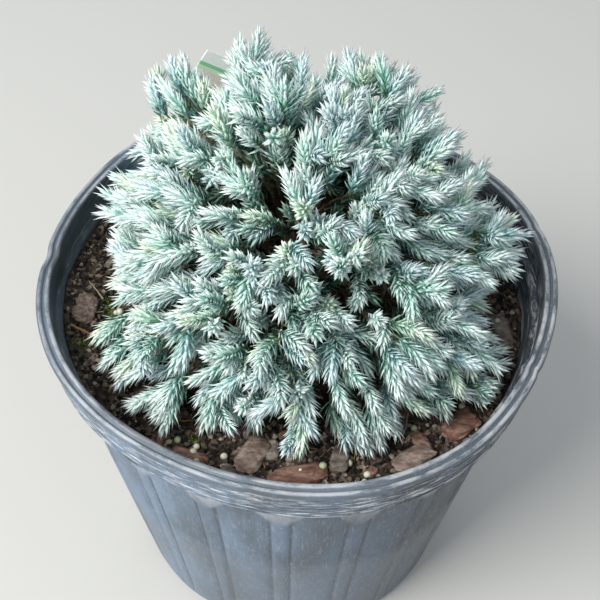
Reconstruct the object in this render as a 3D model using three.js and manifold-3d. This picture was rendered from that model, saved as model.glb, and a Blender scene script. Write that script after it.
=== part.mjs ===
// A dwarf blue juniper in a round nursery pot: a low, dense mound of short blue-grey needles.
// Millimetres, +Z up. The origin is the centre of the pot's flat underside, +X is to the right
// and +Y to the back of the plant as it is usually seen.
import * as THREE from "three";
import { mergeVertices } from "three/addons/utils/BufferGeometryUtils.js";
import Module from "manifold-3d";

const wasm = await Module();
wasm.setup();

// Between pieces that touch
const gap = 0.3;

// Pot
const potHeight = 240;
const rimRadius = 140;
const baseRadius = 108;
const shoulderRadius = 131;
const shoulderHeight = 214;
const wallThickness = 2.4;
const floorThickness = 3;
const bandHeight = 224;
const bandRadius = 132.2;
const wallMiddle = 112;
const footHeight = 5;
const footInset = 3;
const reliefStart = 13;
const panelCount = 20;
const panelTurn = 6.5;
const panelHalfWidth = 6.5;
const creaseDepth = 1.3;
const panelSwell = 0.5;
const archTop = 200;
const archDrop = 10;
const archRun = 4;

// Its lip, from outside to inside: two beads with a groove between them
const skirtInset = 3.4;
const skirtEdge = 2;
const lipRings = [
  { inset: 0, drop: 4 },
  { inset: 1, drop: 0 },
  { inset: 3, drop: 1.4 },
  { inset: 5.4, drop: 0 },
  { inset: 7.6, drop: 1.4 },
];

// A used pot is no longer quite round: how far the rim stands out, by lobes around it
const rimWarp = [
  { lobes: 2, cosine: 0.53, sine: -2.03 },
  { lobes: 3, cosine: 1.38, sine: 0.56 },
  { lobes: 4, cosine: -0.1, sine: 2.4 },
];

// Potting mix
const soilHeight = 212;
const soilFlatRadius = 24;
const soilRings = [
  { share: 0.62, drop: 1.5 },
  { share: 0.86, drop: 3.9 },
  { share: 1, drop: 5 },
];
const soilLumps = 1.3;
const soilRoom = 0.9;

// On the left the mix is heaped against the wall
const heapAzimuth = 180;
const heapHeight = 16;
const heapSpread = 0.35;
const heapSteepness = 6;

// Bark chips on the mix: length, width and thickness, and how far each is sunk
const chipSink = 0.55;
const chipTaper = 0.8;
const chipSides = 5;
const chipRoom = 2;
const chipLeast = 0.82;
const chipUneven = 0.3;
const cornerGrowth = 1.4;
const chips = [
  { azimuth: 259, radius: 103, size: [22, 13, 7], turn: 60, tilt: 8 },
  { azimuth: 271, radius: 113, size: [31, 12, 6], turn: 18, tilt: -6 },
  { azimuth: 283, radius: 105, size: [14, 10, 6], turn: 75, tilt: 5 },
  { azimuth: 301, radius: 117, size: [24, 11, 5], turn: 32, tilt: 4 },
  { azimuth: 317, radius: 117, size: [22, 13, 6], turn: 40, tilt: -5 },
  { azimuth: 351, radius: 116, size: [24, 11, 6], turn: -84, tilt: 6 },
  { azimuth: 188, radius: 118, size: [20, 12, 6], turn: 84, tilt: 24 },
  { azimuth: 244, radius: 116, size: [19, 8, 5], turn: -20, tilt: 5 },
  { azimuth: 70, radius: 119, size: [20, 12, 5], turn: -15, tilt: 5 },
];

// Plant label: a blank card on a pointed leg that stands in the mix
const labelCorner = new THREE.Vector3(-70.8, 104.4, 276.9);
const labelRise = new THREE.Vector3(0.539, 0.098, 0.835);
const labelRun = new THREE.Vector3(0.81, 0.212, -0.545);
const labelHeight = 30;
const labelWidth = 62;
const labelThickness = 0.8;
const legWidth = 9;
const legStart = 24;
const legLength = 76;
const legPoint = 8;
const labelRoom = 2;

// Trunk: short and leaning, with a root flare at the mix
const trunkFoot = new THREE.Vector3(-4, 8, soilHeight + gap);
const trunkTop = new THREE.Vector3(1, 12, 244);
const trunkSides = 10;
const trunkRings = [
  { share: 0, radius: 11 },
  { share: 0.12, radius: 8.4 },
  { share: 0.3, radius: 7 },
  { share: 0.7, radius: 6.2 },
  { share: 1, radius: 5 },
];

// Crown: a dome about this centre, shared out among masses that each keep to a sector of it
const crownCentre = new THREE.Vector3(2, 12, 238);
const boughReach = 42;
const coreStart = 47;
const coreShare = 0.66;
const coreLumps = 4;
const coreDroop = 0.1;
const coreEdge = 1.3;
const seam = 0.5;
const coreSeam = 3;
const needleFloor = 216.5;
const potRoom = 1.5;
const lowestShoot = -9;

// Each mass: the way it grows from the crown's centre, and how far its tips reach
const masses = [
  { name: "front_left", azimuth: 238, elevation: 7, reach: 124 },
  { name: "front", azimuth: 275, elevation: 6, reach: 127 },
  { name: "front_right", azimuth: 312, elevation: 7, reach: 129 },
  { name: "right", azimuth: 350, elevation: 9, reach: 121 },
  { name: "back_right", azimuth: 30, elevation: 10, reach: 114 },
  { name: "back", azimuth: 72, elevation: 10, reach: 110 },
  { name: "back_left", azimuth: 114, elevation: 10, reach: 108 },
  { name: "left_back", azimuth: 156, elevation: 11, reach: 113 },
  { name: "left", azimuth: 198, elevation: 10, reach: 115 },
  { name: "upper_left", azimuth: 207, elevation: 46, reach: 114 },
  { name: "upper_front", azimuth: 273, elevation: 45, reach: 112 },
  { name: "upper_right", azimuth: 343, elevation: 47, reach: 112 },
  { name: "upper_back_right", azimuth: 52, elevation: 46, reach: 116 },
  { name: "upper_back_left", azimuth: 130, elevation: 46, reach: 122 },
  { name: "top_left", azimuth: 165, elevation: 78, reach: 121 },
  { name: "top_right", azimuth: 5, elevation: 77, reach: 109 },
];

// Boughs leave the trunk at these heights: the low ones in turn, the upper ones, the top ones
const lowBoughHeights = [217.5, 222, 226.5];
const upperBoughHeights = [230.5, 234.5];
const topBoughSpread = 2.5;
const topBoughLean = 0.25;
const lowBoughRise = 0.35;
const boughBends = [0.35, 0.6];
const boughSides = 5;
const boughRadii = [2.3, 2.2, 2, 1.85, 1.7];
const stemRadii = [1.7, 1.6];
const stemEnd = 62;

// Sprays: plumes share out a mass, and shoots share out a plume
const plumeCount = 60;
const shootCount = 176;
const plumeDroop = 0.09;
const massDroop = 0.04;
const tipScatter = 0.05;
const leastVigour = 0.95;
const twigRadius = 4;
const twigStart = 60;
const twigEnd = 0.8;
const shootShare = 0.42;
const shootFan = 0.6;
const shootPulls = [0, 0.12, 0.24, 0.36, 0.48];
const shootRings = [
  { share: 0.42, radius: 3.8 },
  { share: 0.63, radius: 3.5 },
  { share: 0.82, radius: 2.5 },
];
const needleLength = 15;
const needleLean = 0.62;
const scrapLength = 0.02;
const goldenTurn = Math.PI * (3 - Math.sqrt(5));

const up = new THREE.Vector3(0, 0, 1);

const radians = (degrees) => (degrees * Math.PI) / 180;

// A repeatable stream of numbers from 0 to 1
function randomFrom(seed) {
  let state = seed;
  return () => {
    state = (state + 0x6d2b79f5) | 0;
    let mixed = Math.imul(state ^ (state >>> 15), 1 | state);
    mixed = (mixed + Math.imul(mixed ^ (mixed >>> 7), 61 | mixed)) ^ mixed;
    return ((mixed ^ (mixed >>> 14)) >>> 0) / 4294967296;
  };
}

// A closed geometry from points and triples of indices
function faceted(points, faces) {
  const geometry = new THREE.BufferGeometry();
  const numbers = points.flatMap((point) => [point.x, point.y, point.z]);
  geometry.setAttribute("position", new THREE.Float32BufferAttribute(numbers, 3));
  geometry.setIndex(faces.flat());
  return geometry;
}

// Joins rings of equal count, each counterclockwise about the way they follow, and closes both ends
function ringSolid(rings, startPoint, endPoint) {
  const count = rings[0].length;
  const points = [...rings.flat(), startPoint, endPoint];
  const start = points.length - 2;
  const end = points.length - 1;
  const last = (rings.length - 1) * count;
  const faces = [];
  for (let i = 0; i < count; i += 1) {
    const next = (i + 1) % count;
    faces.push([start, next, i]);
    faces.push([end, last + i, last + next]);
    for (let ring = 0; ring < last; ring += count) {
      faces.push([ring + i, ring + next, ring + count + next]);
      faces.push([ring + i, ring + count + next, ring + count + i]);
    }
  }
  return faceted(points, faces);
}

function centreOf(ring) {
  const sum = ring.reduce((total, point) => total.add(point), new THREE.Vector3());
  return sum.divideScalar(ring.length);
}

// A round or many-sided limb along a curve, its radius given at even steps
function limb(curve, radii, sides) {
  const steps = radii.length - 1;
  const frames = curve.computeFrenetFrames(steps, false);
  const rings = radii.map((radius, step) => {
    const middle = curve.getPointAt(step / steps);
    return Array.from({ length: sides }, (_, side) => {
      const turn = (2 * Math.PI * side) / sides;
      const across = frames.normals[step].clone().multiplyScalar(radius * Math.cos(turn));
      return across.addScaledVector(frames.binormals[step], radius * Math.sin(turn)).add(middle);
    });
  });
  return ringSolid(rings, centreOf(rings[0]), centreOf(rings[steps]));
}

function solidOf(geometry) {
  const bare = geometry.clone();
  bare.deleteAttribute("normal");
  bare.deleteAttribute("uv");
  const merged = mergeVertices(bare, 1e-4);
  return new wasm.Manifold(
    new wasm.Mesh({
      numProp: 3,
      vertProperties: new Float32Array(merged.attributes.position.array),
      triVerts: new Uint32Array(merged.index.array),
    }),
  );
}

function geometryOf(solid) {
  const mesh = solid.getMesh();
  const geometry = new THREE.BufferGeometry();
  geometry.setAttribute("position", new THREE.BufferAttribute(new Float32Array(mesh.vertProperties), 3));
  geometry.setIndex(new THREE.BufferAttribute(new Uint32Array(mesh.triVerts), 1));
  return geometry;
}

// The largest piece of a solid, with sealed hollows and loose scraps left out
function largestPiece(solid) {
  const pieces = solid.decompose();
  return pieces.reduce((best, piece) => (piece.volume() > best.volume() ? piece : best));
}

// Pot
function warpAt(turn, height) {
  const stand = rimWarp.reduce(
    (sum, { lobes, cosine, sine }) => sum + cosine * Math.cos(lobes * turn) + sine * Math.sin(lobes * turn),
    0,
  );
  return (stand * height) / potHeight;
}

const wallRadius = (height) => baseRadius + ((shoulderRadius - baseRadius) * height) / shoulderHeight;

const innerRadius = (height) =>
  height > bandHeight ? bandRadius : wallRadius(height) - wallThickness - panelSwell * 2;

// The turns about the pot where its panels have their edges, with how much of each is swell or crease
const panelColumns = Array.from({ length: panelCount }, (_, panel) => {
  const middle = panelTurn + (panel * 360) / panelCount;
  return [
    { turn: radians(middle - panelHalfWidth), relief: -creaseDepth, arch: 1 },
    { turn: radians(middle), relief: panelSwell, arch: 0.3 },
    { turn: radians(middle + panelHalfWidth), relief: -creaseDepth, arch: 1 },
  ];
}).flat();

function potRing(radius, height, relief) {
  return panelColumns.map((column) => {
    const archEnd = archTop - archDrop * column.arch;
    const shown = relief && height < archEnd ? column.relief : 0;
    const reach = radius + shown + warpAt(column.turn, height);
    return new THREE.Vector3(reach * Math.cos(column.turn), reach * Math.sin(column.turn), height);
  });
}

function makePot() {
  const archFoot = archTop - archDrop - archRun;
  const rings = [
    potRing(baseRadius - footInset, 0, false),
    potRing(wallRadius(footHeight), footHeight, false),
    potRing(wallRadius(reliefStart), reliefStart, true),
    potRing(wallRadius(archFoot), archFoot, true),
    potRing(wallRadius(archTop), archTop, true),
    potRing(shoulderRadius, shoulderHeight, false),
    potRing(rimRadius - skirtInset, shoulderHeight + skirtEdge, false),
    ...lipRings.map(({ inset, drop }) => potRing(rimRadius - inset, potHeight - drop, false)),
    potRing(innerRadius(bandHeight + 1), bandHeight + 1, false),
    potRing(innerRadius(bandHeight), bandHeight, false),
    potRing(innerRadius(wallMiddle), wallMiddle, false),
    potRing(innerRadius(floorThickness), floorThickness, false),
  ];
  return ringSolid(rings, new THREE.Vector3(0, 0, 0), new THREE.Vector3(0, 0, floorThickness));
}

// How far the heap on the left lifts the mix, at a share of the way out to the wall
function heapRise(turn, share) {
  const turned = Math.cos(turn - radians(heapAzimuth));
  return heapHeight * Math.exp((turned - 1) / heapSpread) * share ** heapSteepness;
}

// Potting mix, with a hole for each chip and for the label's leg
function soilRing(share, height, lumps, random) {
  return panelColumns.map(({ turn }) => {
    const level = lumps > 0 ? height + heapRise(turn, share) : height;
    const top = level + lumps * (2 * random() - 1);
    const edge = innerRadius(level) - soilRoom + warpAt(turn, level);
    const radius = soilFlatRadius + (edge - soilFlatRadius) * share;
    return new THREE.Vector3(radius * Math.cos(turn), radius * Math.sin(turn), top);
  });
}

function makeSoil() {
  const random = randomFrom(11);
  const bottomHeight = floorThickness + gap;
  const outward = soilRings.map(({ share, drop }) => soilRing(share, soilHeight - drop, soilLumps, random));
  const rings = [
    soilRing(1, bottomHeight, 0, random),
    soilRing(1, wallMiddle, 0, random),
    ...outward.reverse(),
    soilRing(0, soilHeight, 0, random),
  ];
  const bottom = new THREE.Vector3(0, 0, bottomHeight);
  const top = new THREE.Vector3(0, 0, soilHeight);
  return ringSolid(rings, bottom, top);
}

// A bark chip: a flat, uneven five-sided slab, or the same slab grown by a margin
function makeChip(chip, index, margin) {
  const random = randomFrom(101 + index);
  const [length, width, thickness] = chip.size;
  const outline = Array.from({ length: chipSides }, (_, side) => {
    const turn = (2 * Math.PI * side) / chipSides;
    const uneven = chipLeast + chipUneven * random();
    return [(length / 2) * uneven * Math.cos(turn), (width / 2) * uneven * Math.sin(turn)];
  });
  const ringAt = (height, share) =>
    outline.map(([x, y]) => {
      const away = Math.hypot(x, y);
      const grown = share + (margin * cornerGrowth) / away;
      return new THREE.Vector3(x * grown, y * grown, height);
    });
  const low = ringAt(-thickness * chipSink - margin, 1);
  const high = ringAt(thickness * (1 - chipSink) + margin, chipTaper);
  const slab = ringSolid([low, high], centreOf(low), centreOf(high));
  const azimuth = radians(chip.azimuth);
  const tilted = new THREE.Euler(radians(chip.tilt), 0, radians(chip.turn));
  const edge = innerRadius(soilHeight) + warpAt(azimuth, soilHeight);
  const radius = Math.min(chip.radius, edge - width / 2 - chipRoom);
  const share = (radius - soilFlatRadius) / (edge - soilFlatRadius);
  const outer = soilRings[soilRings.length - 1].drop;
  slab.applyMatrix4(new THREE.Matrix4().makeRotationFromEuler(tilted));
  return slab.translate(
    radius * Math.cos(azimuth),
    radius * Math.sin(azimuth),
    soilHeight - outer * share ** 1.5 + heapRise(azimuth, share),
  );
}

// Plant label, drawn in its own plane: run to the right along the card, rise up it
function makeLabel(margin) {
  const down = up.clone().negate();
  const facing = labelRun.clone().cross(labelRise).normalize();
  const fall = down.addScaledVector(facing, -down.dot(facing)).normalize();
  const fallRun = fall.dot(labelRun);
  const fallRise = fall.dot(labelRise);
  const legPoints = [
    [legStart + legWidth / fallRun / 2, 0],
    [legStart + legWidth / 2 + fallRun * legLength + margin, fallRise * legLength],
    [legStart + fallRun * (legLength + legPoint), fallRise * (legLength + legPoint) - 2 * margin],
    [legStart - legWidth / 2 + fallRun * legLength - margin, fallRise * legLength],
    [legStart - legWidth / fallRun / 2, 0],
  ];
  const outline = [
    [0, 0],
    [0, labelHeight],
    [labelWidth, labelHeight],
    [labelWidth, 0],
    ...legPoints,
  ].reverse();
  const shape = new THREE.Shape(outline.map(([run, rise]) => new THREE.Vector2(run, rise)));
  const card = new THREE.ExtrudeGeometry(shape, {
    depth: labelThickness + 2 * margin,
    bevelEnabled: false,
  });
  card.translate(0, 0, -margin);
  card.applyMatrix4(new THREE.Matrix4().makeBasis(labelRun, labelRise, facing));
  return card.translate(labelCorner.x, labelCorner.y, labelCorner.z);
}

// Trunk, or the same trunk grown by a margin
function makeTrunk(margin) {
  const rings = trunkRings.map(({ share, radius }) => {
    const middle = trunkFoot.clone().lerp(trunkTop, share);
    return Array.from({ length: trunkSides }, (_, side) => {
      const turn = (2 * Math.PI * side) / trunkSides;
      const reach = radius + margin;
      return middle.clone().add(new THREE.Vector3(reach * Math.cos(turn), reach * Math.sin(turn), 0));
    });
  });
  return ringSolid(rings, centreOf(rings[0]), centreOf(rings[rings.length - 1]));
}

// The unit way out from the crown's centre
function wayOf(azimuth, elevation) {
  const level = Math.cos(radians(elevation));
  return new THREE.Vector3(
    level * Math.cos(radians(azimuth)),
    level * Math.sin(radians(azimuth)),
    Math.sin(radians(elevation)),
  );
}

const outAlong = (way, distance) => crownCentre.clone().addScaledVector(way, distance);

// Where a bough leaves the trunk and the way it leaves: low ones in turn, upper ones above, two at the top
function boughStart(mass, index) {
  const aside = new THREE.Vector3(mass.way.x, mass.way.y, 0).normalize();
  if (mass.elevation > 60) {
    const start = trunkTop.clone().setZ(trunkTop.z + gap).addScaledVector(aside, topBoughSpread);
    return { start, leaving: aside.multiplyScalar(topBoughLean).add(up).normalize() };
  }
  const heights = mass.elevation > 30 ? upperBoughHeights : lowBoughHeights;
  const height = heights[index % heights.length];
  const share = (height - trunkFoot.z) / (trunkTop.z - trunkFoot.z);
  const start = trunkFoot.clone().lerp(trunkTop, share);
  return { start, leaving: aside.addScaledVector(up, lowBoughRise).normalize() };
}

function makeBough(mass, index) {
  const { start, leaving } = boughStart(mass, index);
  const curve = new THREE.CubicBezierCurve3(
    start,
    start.clone().addScaledVector(leaving, boughReach * boughBends[0]),
    outAlong(mass.way, boughReach * boughBends[1]),
    outAlong(mass.way, boughReach),
  );
  return geometryOf(solidOf(limb(curve, boughRadii, boughSides)).subtract(grownTrunk));
}

// The planes that bound a mass: its neighbours' sectors, the boughs inside, the mix and the label
function boundsOf(mass, room) {
  const planes = masses
    .filter((other) => other !== mass)
    .map((other) => mass.way.clone().sub(other.way).normalize())
    .map((normal) => ({ normal, offset: normal.dot(crownCentre) + room / 2 }));
  const labelFacing = labelRun.clone().cross(labelRise).normalize().negate();
  if (labelFacing.dot(crownCentre.clone().sub(labelCorner)) < 0) {
    labelFacing.negate();
  }
  planes.push({ normal: labelFacing, offset: labelFacing.dot(labelCorner) + labelRoom });
  planes.push({ normal: up, offset: needleFloor });
  return planes;
}

function isInside(points, planes) {
  const inPlanes = points.every((point) => planes.every(({ normal, offset }) => normal.dot(point) >= offset));
  return inPlanes && points.every(clearsPot);
}

function clearsPot(point) {
  const turn = Math.atan2(point.y, point.x);
  const wall = innerRadius(Math.min(point.z, bandHeight)) + warpAt(turn, potHeight);
  return point.z > potHeight + potRoom || Math.hypot(point.x, point.y) < wall - potRoom;
}

// The core that a mass's shoots stand out of: its sector of one lumpy ball
function makeCore(mass) {
  const random = randomFrom(7);
  const bare = new THREE.IcosahedronGeometry(1, 2);
  bare.deleteAttribute("normal");
  bare.deleteAttribute("uv");
  const ball = mergeVertices(bare, 1e-4);
  const position = ball.attributes.position;
  for (let i = 0; i < position.count; i += 1) {
    const point = new THREE.Vector3().fromBufferAttribute(position, i);
    const owner = nearestTo(point, masses);
    const fromMass = Math.min(point.angleTo(owner.way) / massSpread, coreEdge);
    const distance = owner.reach * coreShare * (1 - coreDroop * fromMass ** 2);
    point.multiplyScalar(distance + coreLumps * (2 * random() - 1)).add(crownCentre);
    position.setXYZ(i, point.x, point.y, point.z);
  }
  const innerPlane = { normal: mass.way, offset: mass.way.dot(crownCentre) + coreStart };
  return [...boundsOf(mass, coreSeam), innerPlane].reduce(
    (solid, { normal, offset }) => solid.trimByPlane(normal.toArray(), offset),
    solidOf(ball),
  );
}

// Ways spread evenly over the dome, from its top down to the lowest shoots
function evenWays(count, startTurn) {
  const lowest = Math.sin(radians(lowestShoot));
  return Array.from({ length: count }, (_, index) => {
    const height = 1 - ((index + 0.5) / count) * (1 - lowest);
    const level = Math.sqrt(1 - height * height);
    const turn = startTurn + index * goldenTurn;
    return new THREE.Vector3(level * Math.cos(turn), level * Math.sin(turn), height);
  });
}

const nearestTo = (way, list) =>
  list.reduce((best, item) => (item.way.dot(way) > best.way.dot(way) ? item : best));

// The plume that a shoot belongs to: the nearest one of the mass whose sector holds it
function plumeOf(way) {
  const mass = nearestTo(way, masses);
  return nearestTo(way, plumes.filter((plume) => plume.mass === mass));
}

// How far a tip stands from the crown's centre: less towards the edges of its mass and its plume
function tipDistance(way, mass, plume, scatter) {
  const fromMass = way.angleTo(mass.way) / massSpread;
  const fromPlume = way.angleTo(plume.way) / plumeSpread;
  const droop = massDroop * fromMass ** 2 + plumeDroop * fromPlume ** 2;
  return mass.reach * plume.vigour * (1 - droop) * (1 - tipScatter * scatter);
}

// Two unit ways across an axis, the three of them right-handed
function acrossOf(axis) {
  const side = new THREE.Vector3().crossVectors(axis, up);
  if (side.length() < 0.2) {
    side.set(1, 0, 0).cross(axis);
  }
  side.normalize();
  return [side, new THREE.Vector3().crossVectors(axis, side)];
}

// Three corners about a point of an axis
function cornersAbout(middle, axis, radius, spin) {
  const [side, third] = acrossOf(axis);
  return [0, 1, 2].map((corner) => {
    const turn = spin + (corner * 2 * Math.PI) / 3;
    return middle
      .clone()
      .addScaledVector(side, radius * Math.cos(turn))
      .addScaledVector(third, radius * Math.sin(turn));
  });
}

// A twig: three-sided, from its heart to a point
function makeTwig(heart, end) {
  const axis = end.clone().sub(heart).normalize();
  const points = [...cornersAbout(heart, axis, twigRadius, 0), end];
  const faces = [
    [0, 2, 1],
    [0, 1, 3],
    [1, 2, 3],
    [2, 0, 3],
  ];
  return solidOf(faceted(points, faces));
}

// A shoot: a slim three-sided core from a pointed root, each ring a sixth of a turn on, with a needle
// on each face between its rings. It is left out, or the needle is, where it would leave the planes
function makeShoot(root, tip, spin, planes) {
  const axis = tip.clone().sub(root);
  const length = axis.length();
  axis.divideScalar(length);
  const points = shootRings.flatMap(({ share, radius }, ring) =>
    cornersAbout(root.clone().addScaledVector(axis, length * share), axis, radius, spin + (ring * Math.PI) / 3),
  );
  points.push(root, tip);
  if (!isInside(points, planes)) {
    return null;
  }
  const lastRing = 3 * (shootRings.length - 1);
  const rootIndex = points.length - 2;
  const tipIndex = points.length - 1;
  const faces = [];
  const addNeedle = (face) => {
    const middle = centreOf(face.map((index) => points[index]));
    const along = middle.clone().sub(root).dot(axis);
    const outward = middle.clone().sub(root).addScaledVector(axis, -along).normalize();
    const point = middle
      .addScaledVector(outward, needleLength * (1 - needleLean))
      .addScaledVector(axis, needleLength * needleLean);
    if (!isInside([point], planes)) {
      faces.push(face);
      return;
    }
    const apex = points.push(point) - 1;
    face.forEach((index, corner) => faces.push([index, face[(corner + 1) % 3], apex]));
  };
  for (let corner = 0; corner < 3; corner += 1) {
    const next = (corner + 1) % 3;
    faces.push([rootIndex, next, corner]);
    faces.push([lastRing + corner, lastRing + next, tipIndex]);
    for (let low = 0; low < lastRing; low += 3) {
      const high = low + 3;
      addNeedle([low + corner, low + next, high + corner]);
      addNeedle([low + next, high + next, high + corner]);
    }
  }
  return solidOf(faceted(points, faces));
}

// A mass: stem, core, a twig for each plume and the shoots of each plume, joined as one solid
function makeMass(mass) {
  const random = randomFrom(500 + masses.indexOf(mass));
  const planes = boundsOf(mass, seam);
  const stem = new THREE.LineCurve3(outAlong(mass.way, boughReach + gap), outAlong(mass.way, stemEnd));
  const joined = [solidOf(limb(stem, stemRadii, boughSides)), makeCore(mass)];
  for (const plume of plumes.filter((one) => one.mass === mass)) {
    const end = tipDistance(plume.way, mass, plume, 0) * twigEnd;
    const heart = outAlong(mass.way, twigStart);
    joined.push(makeTwig(heart, outAlong(plume.way, end)));
    for (const way of shootWays.filter((one) => plumeOf(one) === plume)) {
      const distance = tipDistance(way, mass, plume, random());
      const spin = random() * Math.PI;
      const shoots = shootPulls.map((pull) => {
        const tipWay = way.clone().lerp(mass.way, pull);
        const rootWay = plume.way.clone().lerp(way, shootFan).lerp(mass.way, pull);
        const root = outAlong(rootWay.normalize(), distance * (1 - shootShare));
        return makeShoot(root, outAlong(tipWay.normalize(), distance), spin, planes);
      });
      const fitting = shoots.find((shoot) => shoot);
      if (fitting) {
        joined.push(fitting);
      }
    }
  }
  const whole = wasm.Manifold.union(joined).simplify(scrapLength);
  return geometryOf(largestPiece(whole));
}

for (const mass of masses) {
  mass.way = wayOf(mass.azimuth, mass.elevation);
}
const domeShare = 2 * Math.PI * (1 - Math.sin(radians(lowestShoot)));
const massSpread = Math.sqrt(domeShare / masses.length / Math.PI);
const plumeSpread = Math.sqrt(domeShare / plumeCount / Math.PI);
const plumeRandom = randomFrom(3);
const plumes = evenWays(plumeCount, 0.4).map((way) => ({
  way,
  mass: nearestTo(way, masses),
  vigour: leastVigour + (1 - leastVigour) * plumeRandom(),
}));
const shootWays = evenWays(shootCount, 1.9);
const grownTrunk = solidOf(makeTrunk(gap));

const finishes = {
  pot: { color: "#6f7a84", roughness: 0.6 },
  soil: { color: "#33281f", roughness: 1 },
  chip: { color: "#7a4a37", roughness: 0.9 },
  label: { color: "#f2f0ea", roughness: 0.5 },
  bark: { color: "#6b5140", roughness: 0.9 },
  needles: { color: "#9db4ae", roughness: 0.7 },
};

const potted = new THREE.Group();

function addPiece(name, geometry, finish) {
  const material = new THREE.MeshStandardMaterial({ ...finishes[finish], metalness: 0 });
  const piece = new THREE.Mesh(geometry, material);
  piece.name = name;
  potted.add(piece);
}

const twoDigits = (index) => String(index + 1).padStart(2, "0");

addPiece("pot", makePot(), "pot");
let soil = solidOf(makeSoil()).subtract(solidOf(makeLabel(gap)));
chips.forEach((chip, index) => {
  soil = soil.subtract(solidOf(makeChip(chip, index, gap)));
  addPiece(`bark_chip_${twoDigits(index)}`, makeChip(chip, index, 0), "chip");
});
addPiece("soil", geometryOf(largestPiece(soil)), "soil");
addPiece("plant_label", makeLabel(0), "label");
addPiece("trunk", makeTrunk(0), "bark");
masses.forEach((mass, index) => {
  addPiece(`bough_${mass.name}`, makeBough(mass, index), "bark");
  addPiece(`foliage_${mass.name}`, makeMass(mass), "needles");
});

export default potted;
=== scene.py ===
import math
import bmesh
import bpy
import numpy as np
from mathutils import Matrix, Vector, noise


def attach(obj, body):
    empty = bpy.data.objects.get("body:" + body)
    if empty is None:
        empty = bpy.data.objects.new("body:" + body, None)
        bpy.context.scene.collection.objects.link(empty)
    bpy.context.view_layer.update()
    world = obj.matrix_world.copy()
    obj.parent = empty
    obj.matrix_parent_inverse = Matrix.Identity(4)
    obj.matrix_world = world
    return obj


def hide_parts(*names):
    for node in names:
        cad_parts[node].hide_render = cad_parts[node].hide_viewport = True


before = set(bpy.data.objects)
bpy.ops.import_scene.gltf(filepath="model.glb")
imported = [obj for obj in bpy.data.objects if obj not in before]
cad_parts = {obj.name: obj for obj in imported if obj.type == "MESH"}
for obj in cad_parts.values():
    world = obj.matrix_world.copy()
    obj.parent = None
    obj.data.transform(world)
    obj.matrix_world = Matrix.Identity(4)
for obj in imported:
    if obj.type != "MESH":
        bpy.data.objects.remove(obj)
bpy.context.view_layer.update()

mm = 0.001  # everything below is written in millimetres and scaled once, when its mesh is made
fullTurn = 2 * math.pi
goldenTurn = math.pi * (3 - math.sqrt(5))


# Small helpers for colours, nodes and meshes

def linear(hexColour):
    channels = [int(hexColour[i:i + 2], 16) / 255 for i in (1, 3, 5)]
    return [c / 12.92 if c <= 0.04045 else ((c + 0.055) / 1.055) ** 2.4 for c in channels] + [1.0]


def addNode(tree, kind, settings, inputs, stops=(), to=None):
    made = tree.nodes.new("ShaderNode" + kind)
    for name, value in settings.items():
        setattr(made, name, value)
    for key, value in inputs.items():
        if isinstance(value, bpy.types.NodeSocket):
            tree.links.new(value, made.inputs[key])
        else:
            made.inputs[key].default_value = value
    for index, (position, tone) in enumerate(stops):  # a colour ramp's stops, as sRGB hex
        elements = made.color_ramp.elements
        element = elements[index] if index < len(elements) else elements.new(position)
        element.position = position
        element.color = linear(tone)
    if to is not None:  # the socket that its first output feeds
        tree.links.new(made.outputs[0], to)
    return made


def perMetre(size):  # a pattern's scale, from the size of its features in millimetres
    return 1 / (size * mm)


def newMaterial(name, tone, roughness, ior, **sockets):
    material = bpy.data.materials.new(name)
    material.use_nodes = True
    shader = material.node_tree.nodes["Principled BSDF"]
    shader.inputs["Base Color"].default_value = linear(tone)
    shader.inputs["Roughness"].default_value = roughness
    shader.inputs["IOR"].default_value = ior
    for socket, value in sockets.items():
        shader.inputs[socket.replace("_", " ")].default_value = value
    return material, material.node_tree, shader


def meshPiece(name, points, faces, materials, slots=None, smooth=False):
    faces = np.asarray(faces, dtype=np.int32)
    mesh = bpy.data.meshes.new(name)
    mesh.vertices.add(len(points))
    mesh.vertices.foreach_set("co", (np.asarray(points) * mm).astype(np.float32).ravel())
    mesh.loops.add(faces.size)
    mesh.loops.foreach_set("vertex_index", faces.ravel())
    mesh.polygons.add(len(faces))
    mesh.polygons.foreach_set("loop_start", np.arange(0, faces.size, faces.shape[1], dtype=np.int32))
    for material in materials:
        mesh.materials.append(material)
    if slots is not None:
        mesh.polygons.foreach_set("material_index", np.asarray(slots, dtype=np.int32))
    mesh.update(calc_edges=True)
    mesh.validate()
    if smooth:
        mesh.shade_smooth()
    else:
        mesh.shade_flat()
    piece = bpy.data.objects.new(name, mesh)
    bpy.context.scene.collection.objects.link(piece)
    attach(piece, "root")
    return piece


def unit(vectors):
    vectors = np.asarray(vectors, dtype=float)
    return vectors / np.maximum(np.linalg.norm(vectors, axis=-1, keepdims=True), 1e-9)


def joinedPiece(name, parts, materials, smooth=False):  # many small meshes, each with its slot, as one
    points, faces, slots, start = [], [], [], 0
    for partPoints, partFaces, slot in parts:
        points.append(partPoints)
        faces.append(np.asarray(partFaces) + start)
        slots.append(np.full(len(partFaces), slot))
        start += len(partPoints)
    points, faces, slots = (np.concatenate(values) for values in (points, faces, slots))
    return meshPiece(name, points, faces, materials, slots, smooth)


def ringFaces(steps, columns):  # four-sided faces between rings of points, facing out
    ring = np.arange(columns)
    following = (ring + 1) % columns
    return np.concatenate([
        np.stack([low + ring, low + following, low + columns + following, low + columns + ring], -1)
        for low in np.arange(steps) * columns
    ])


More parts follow.
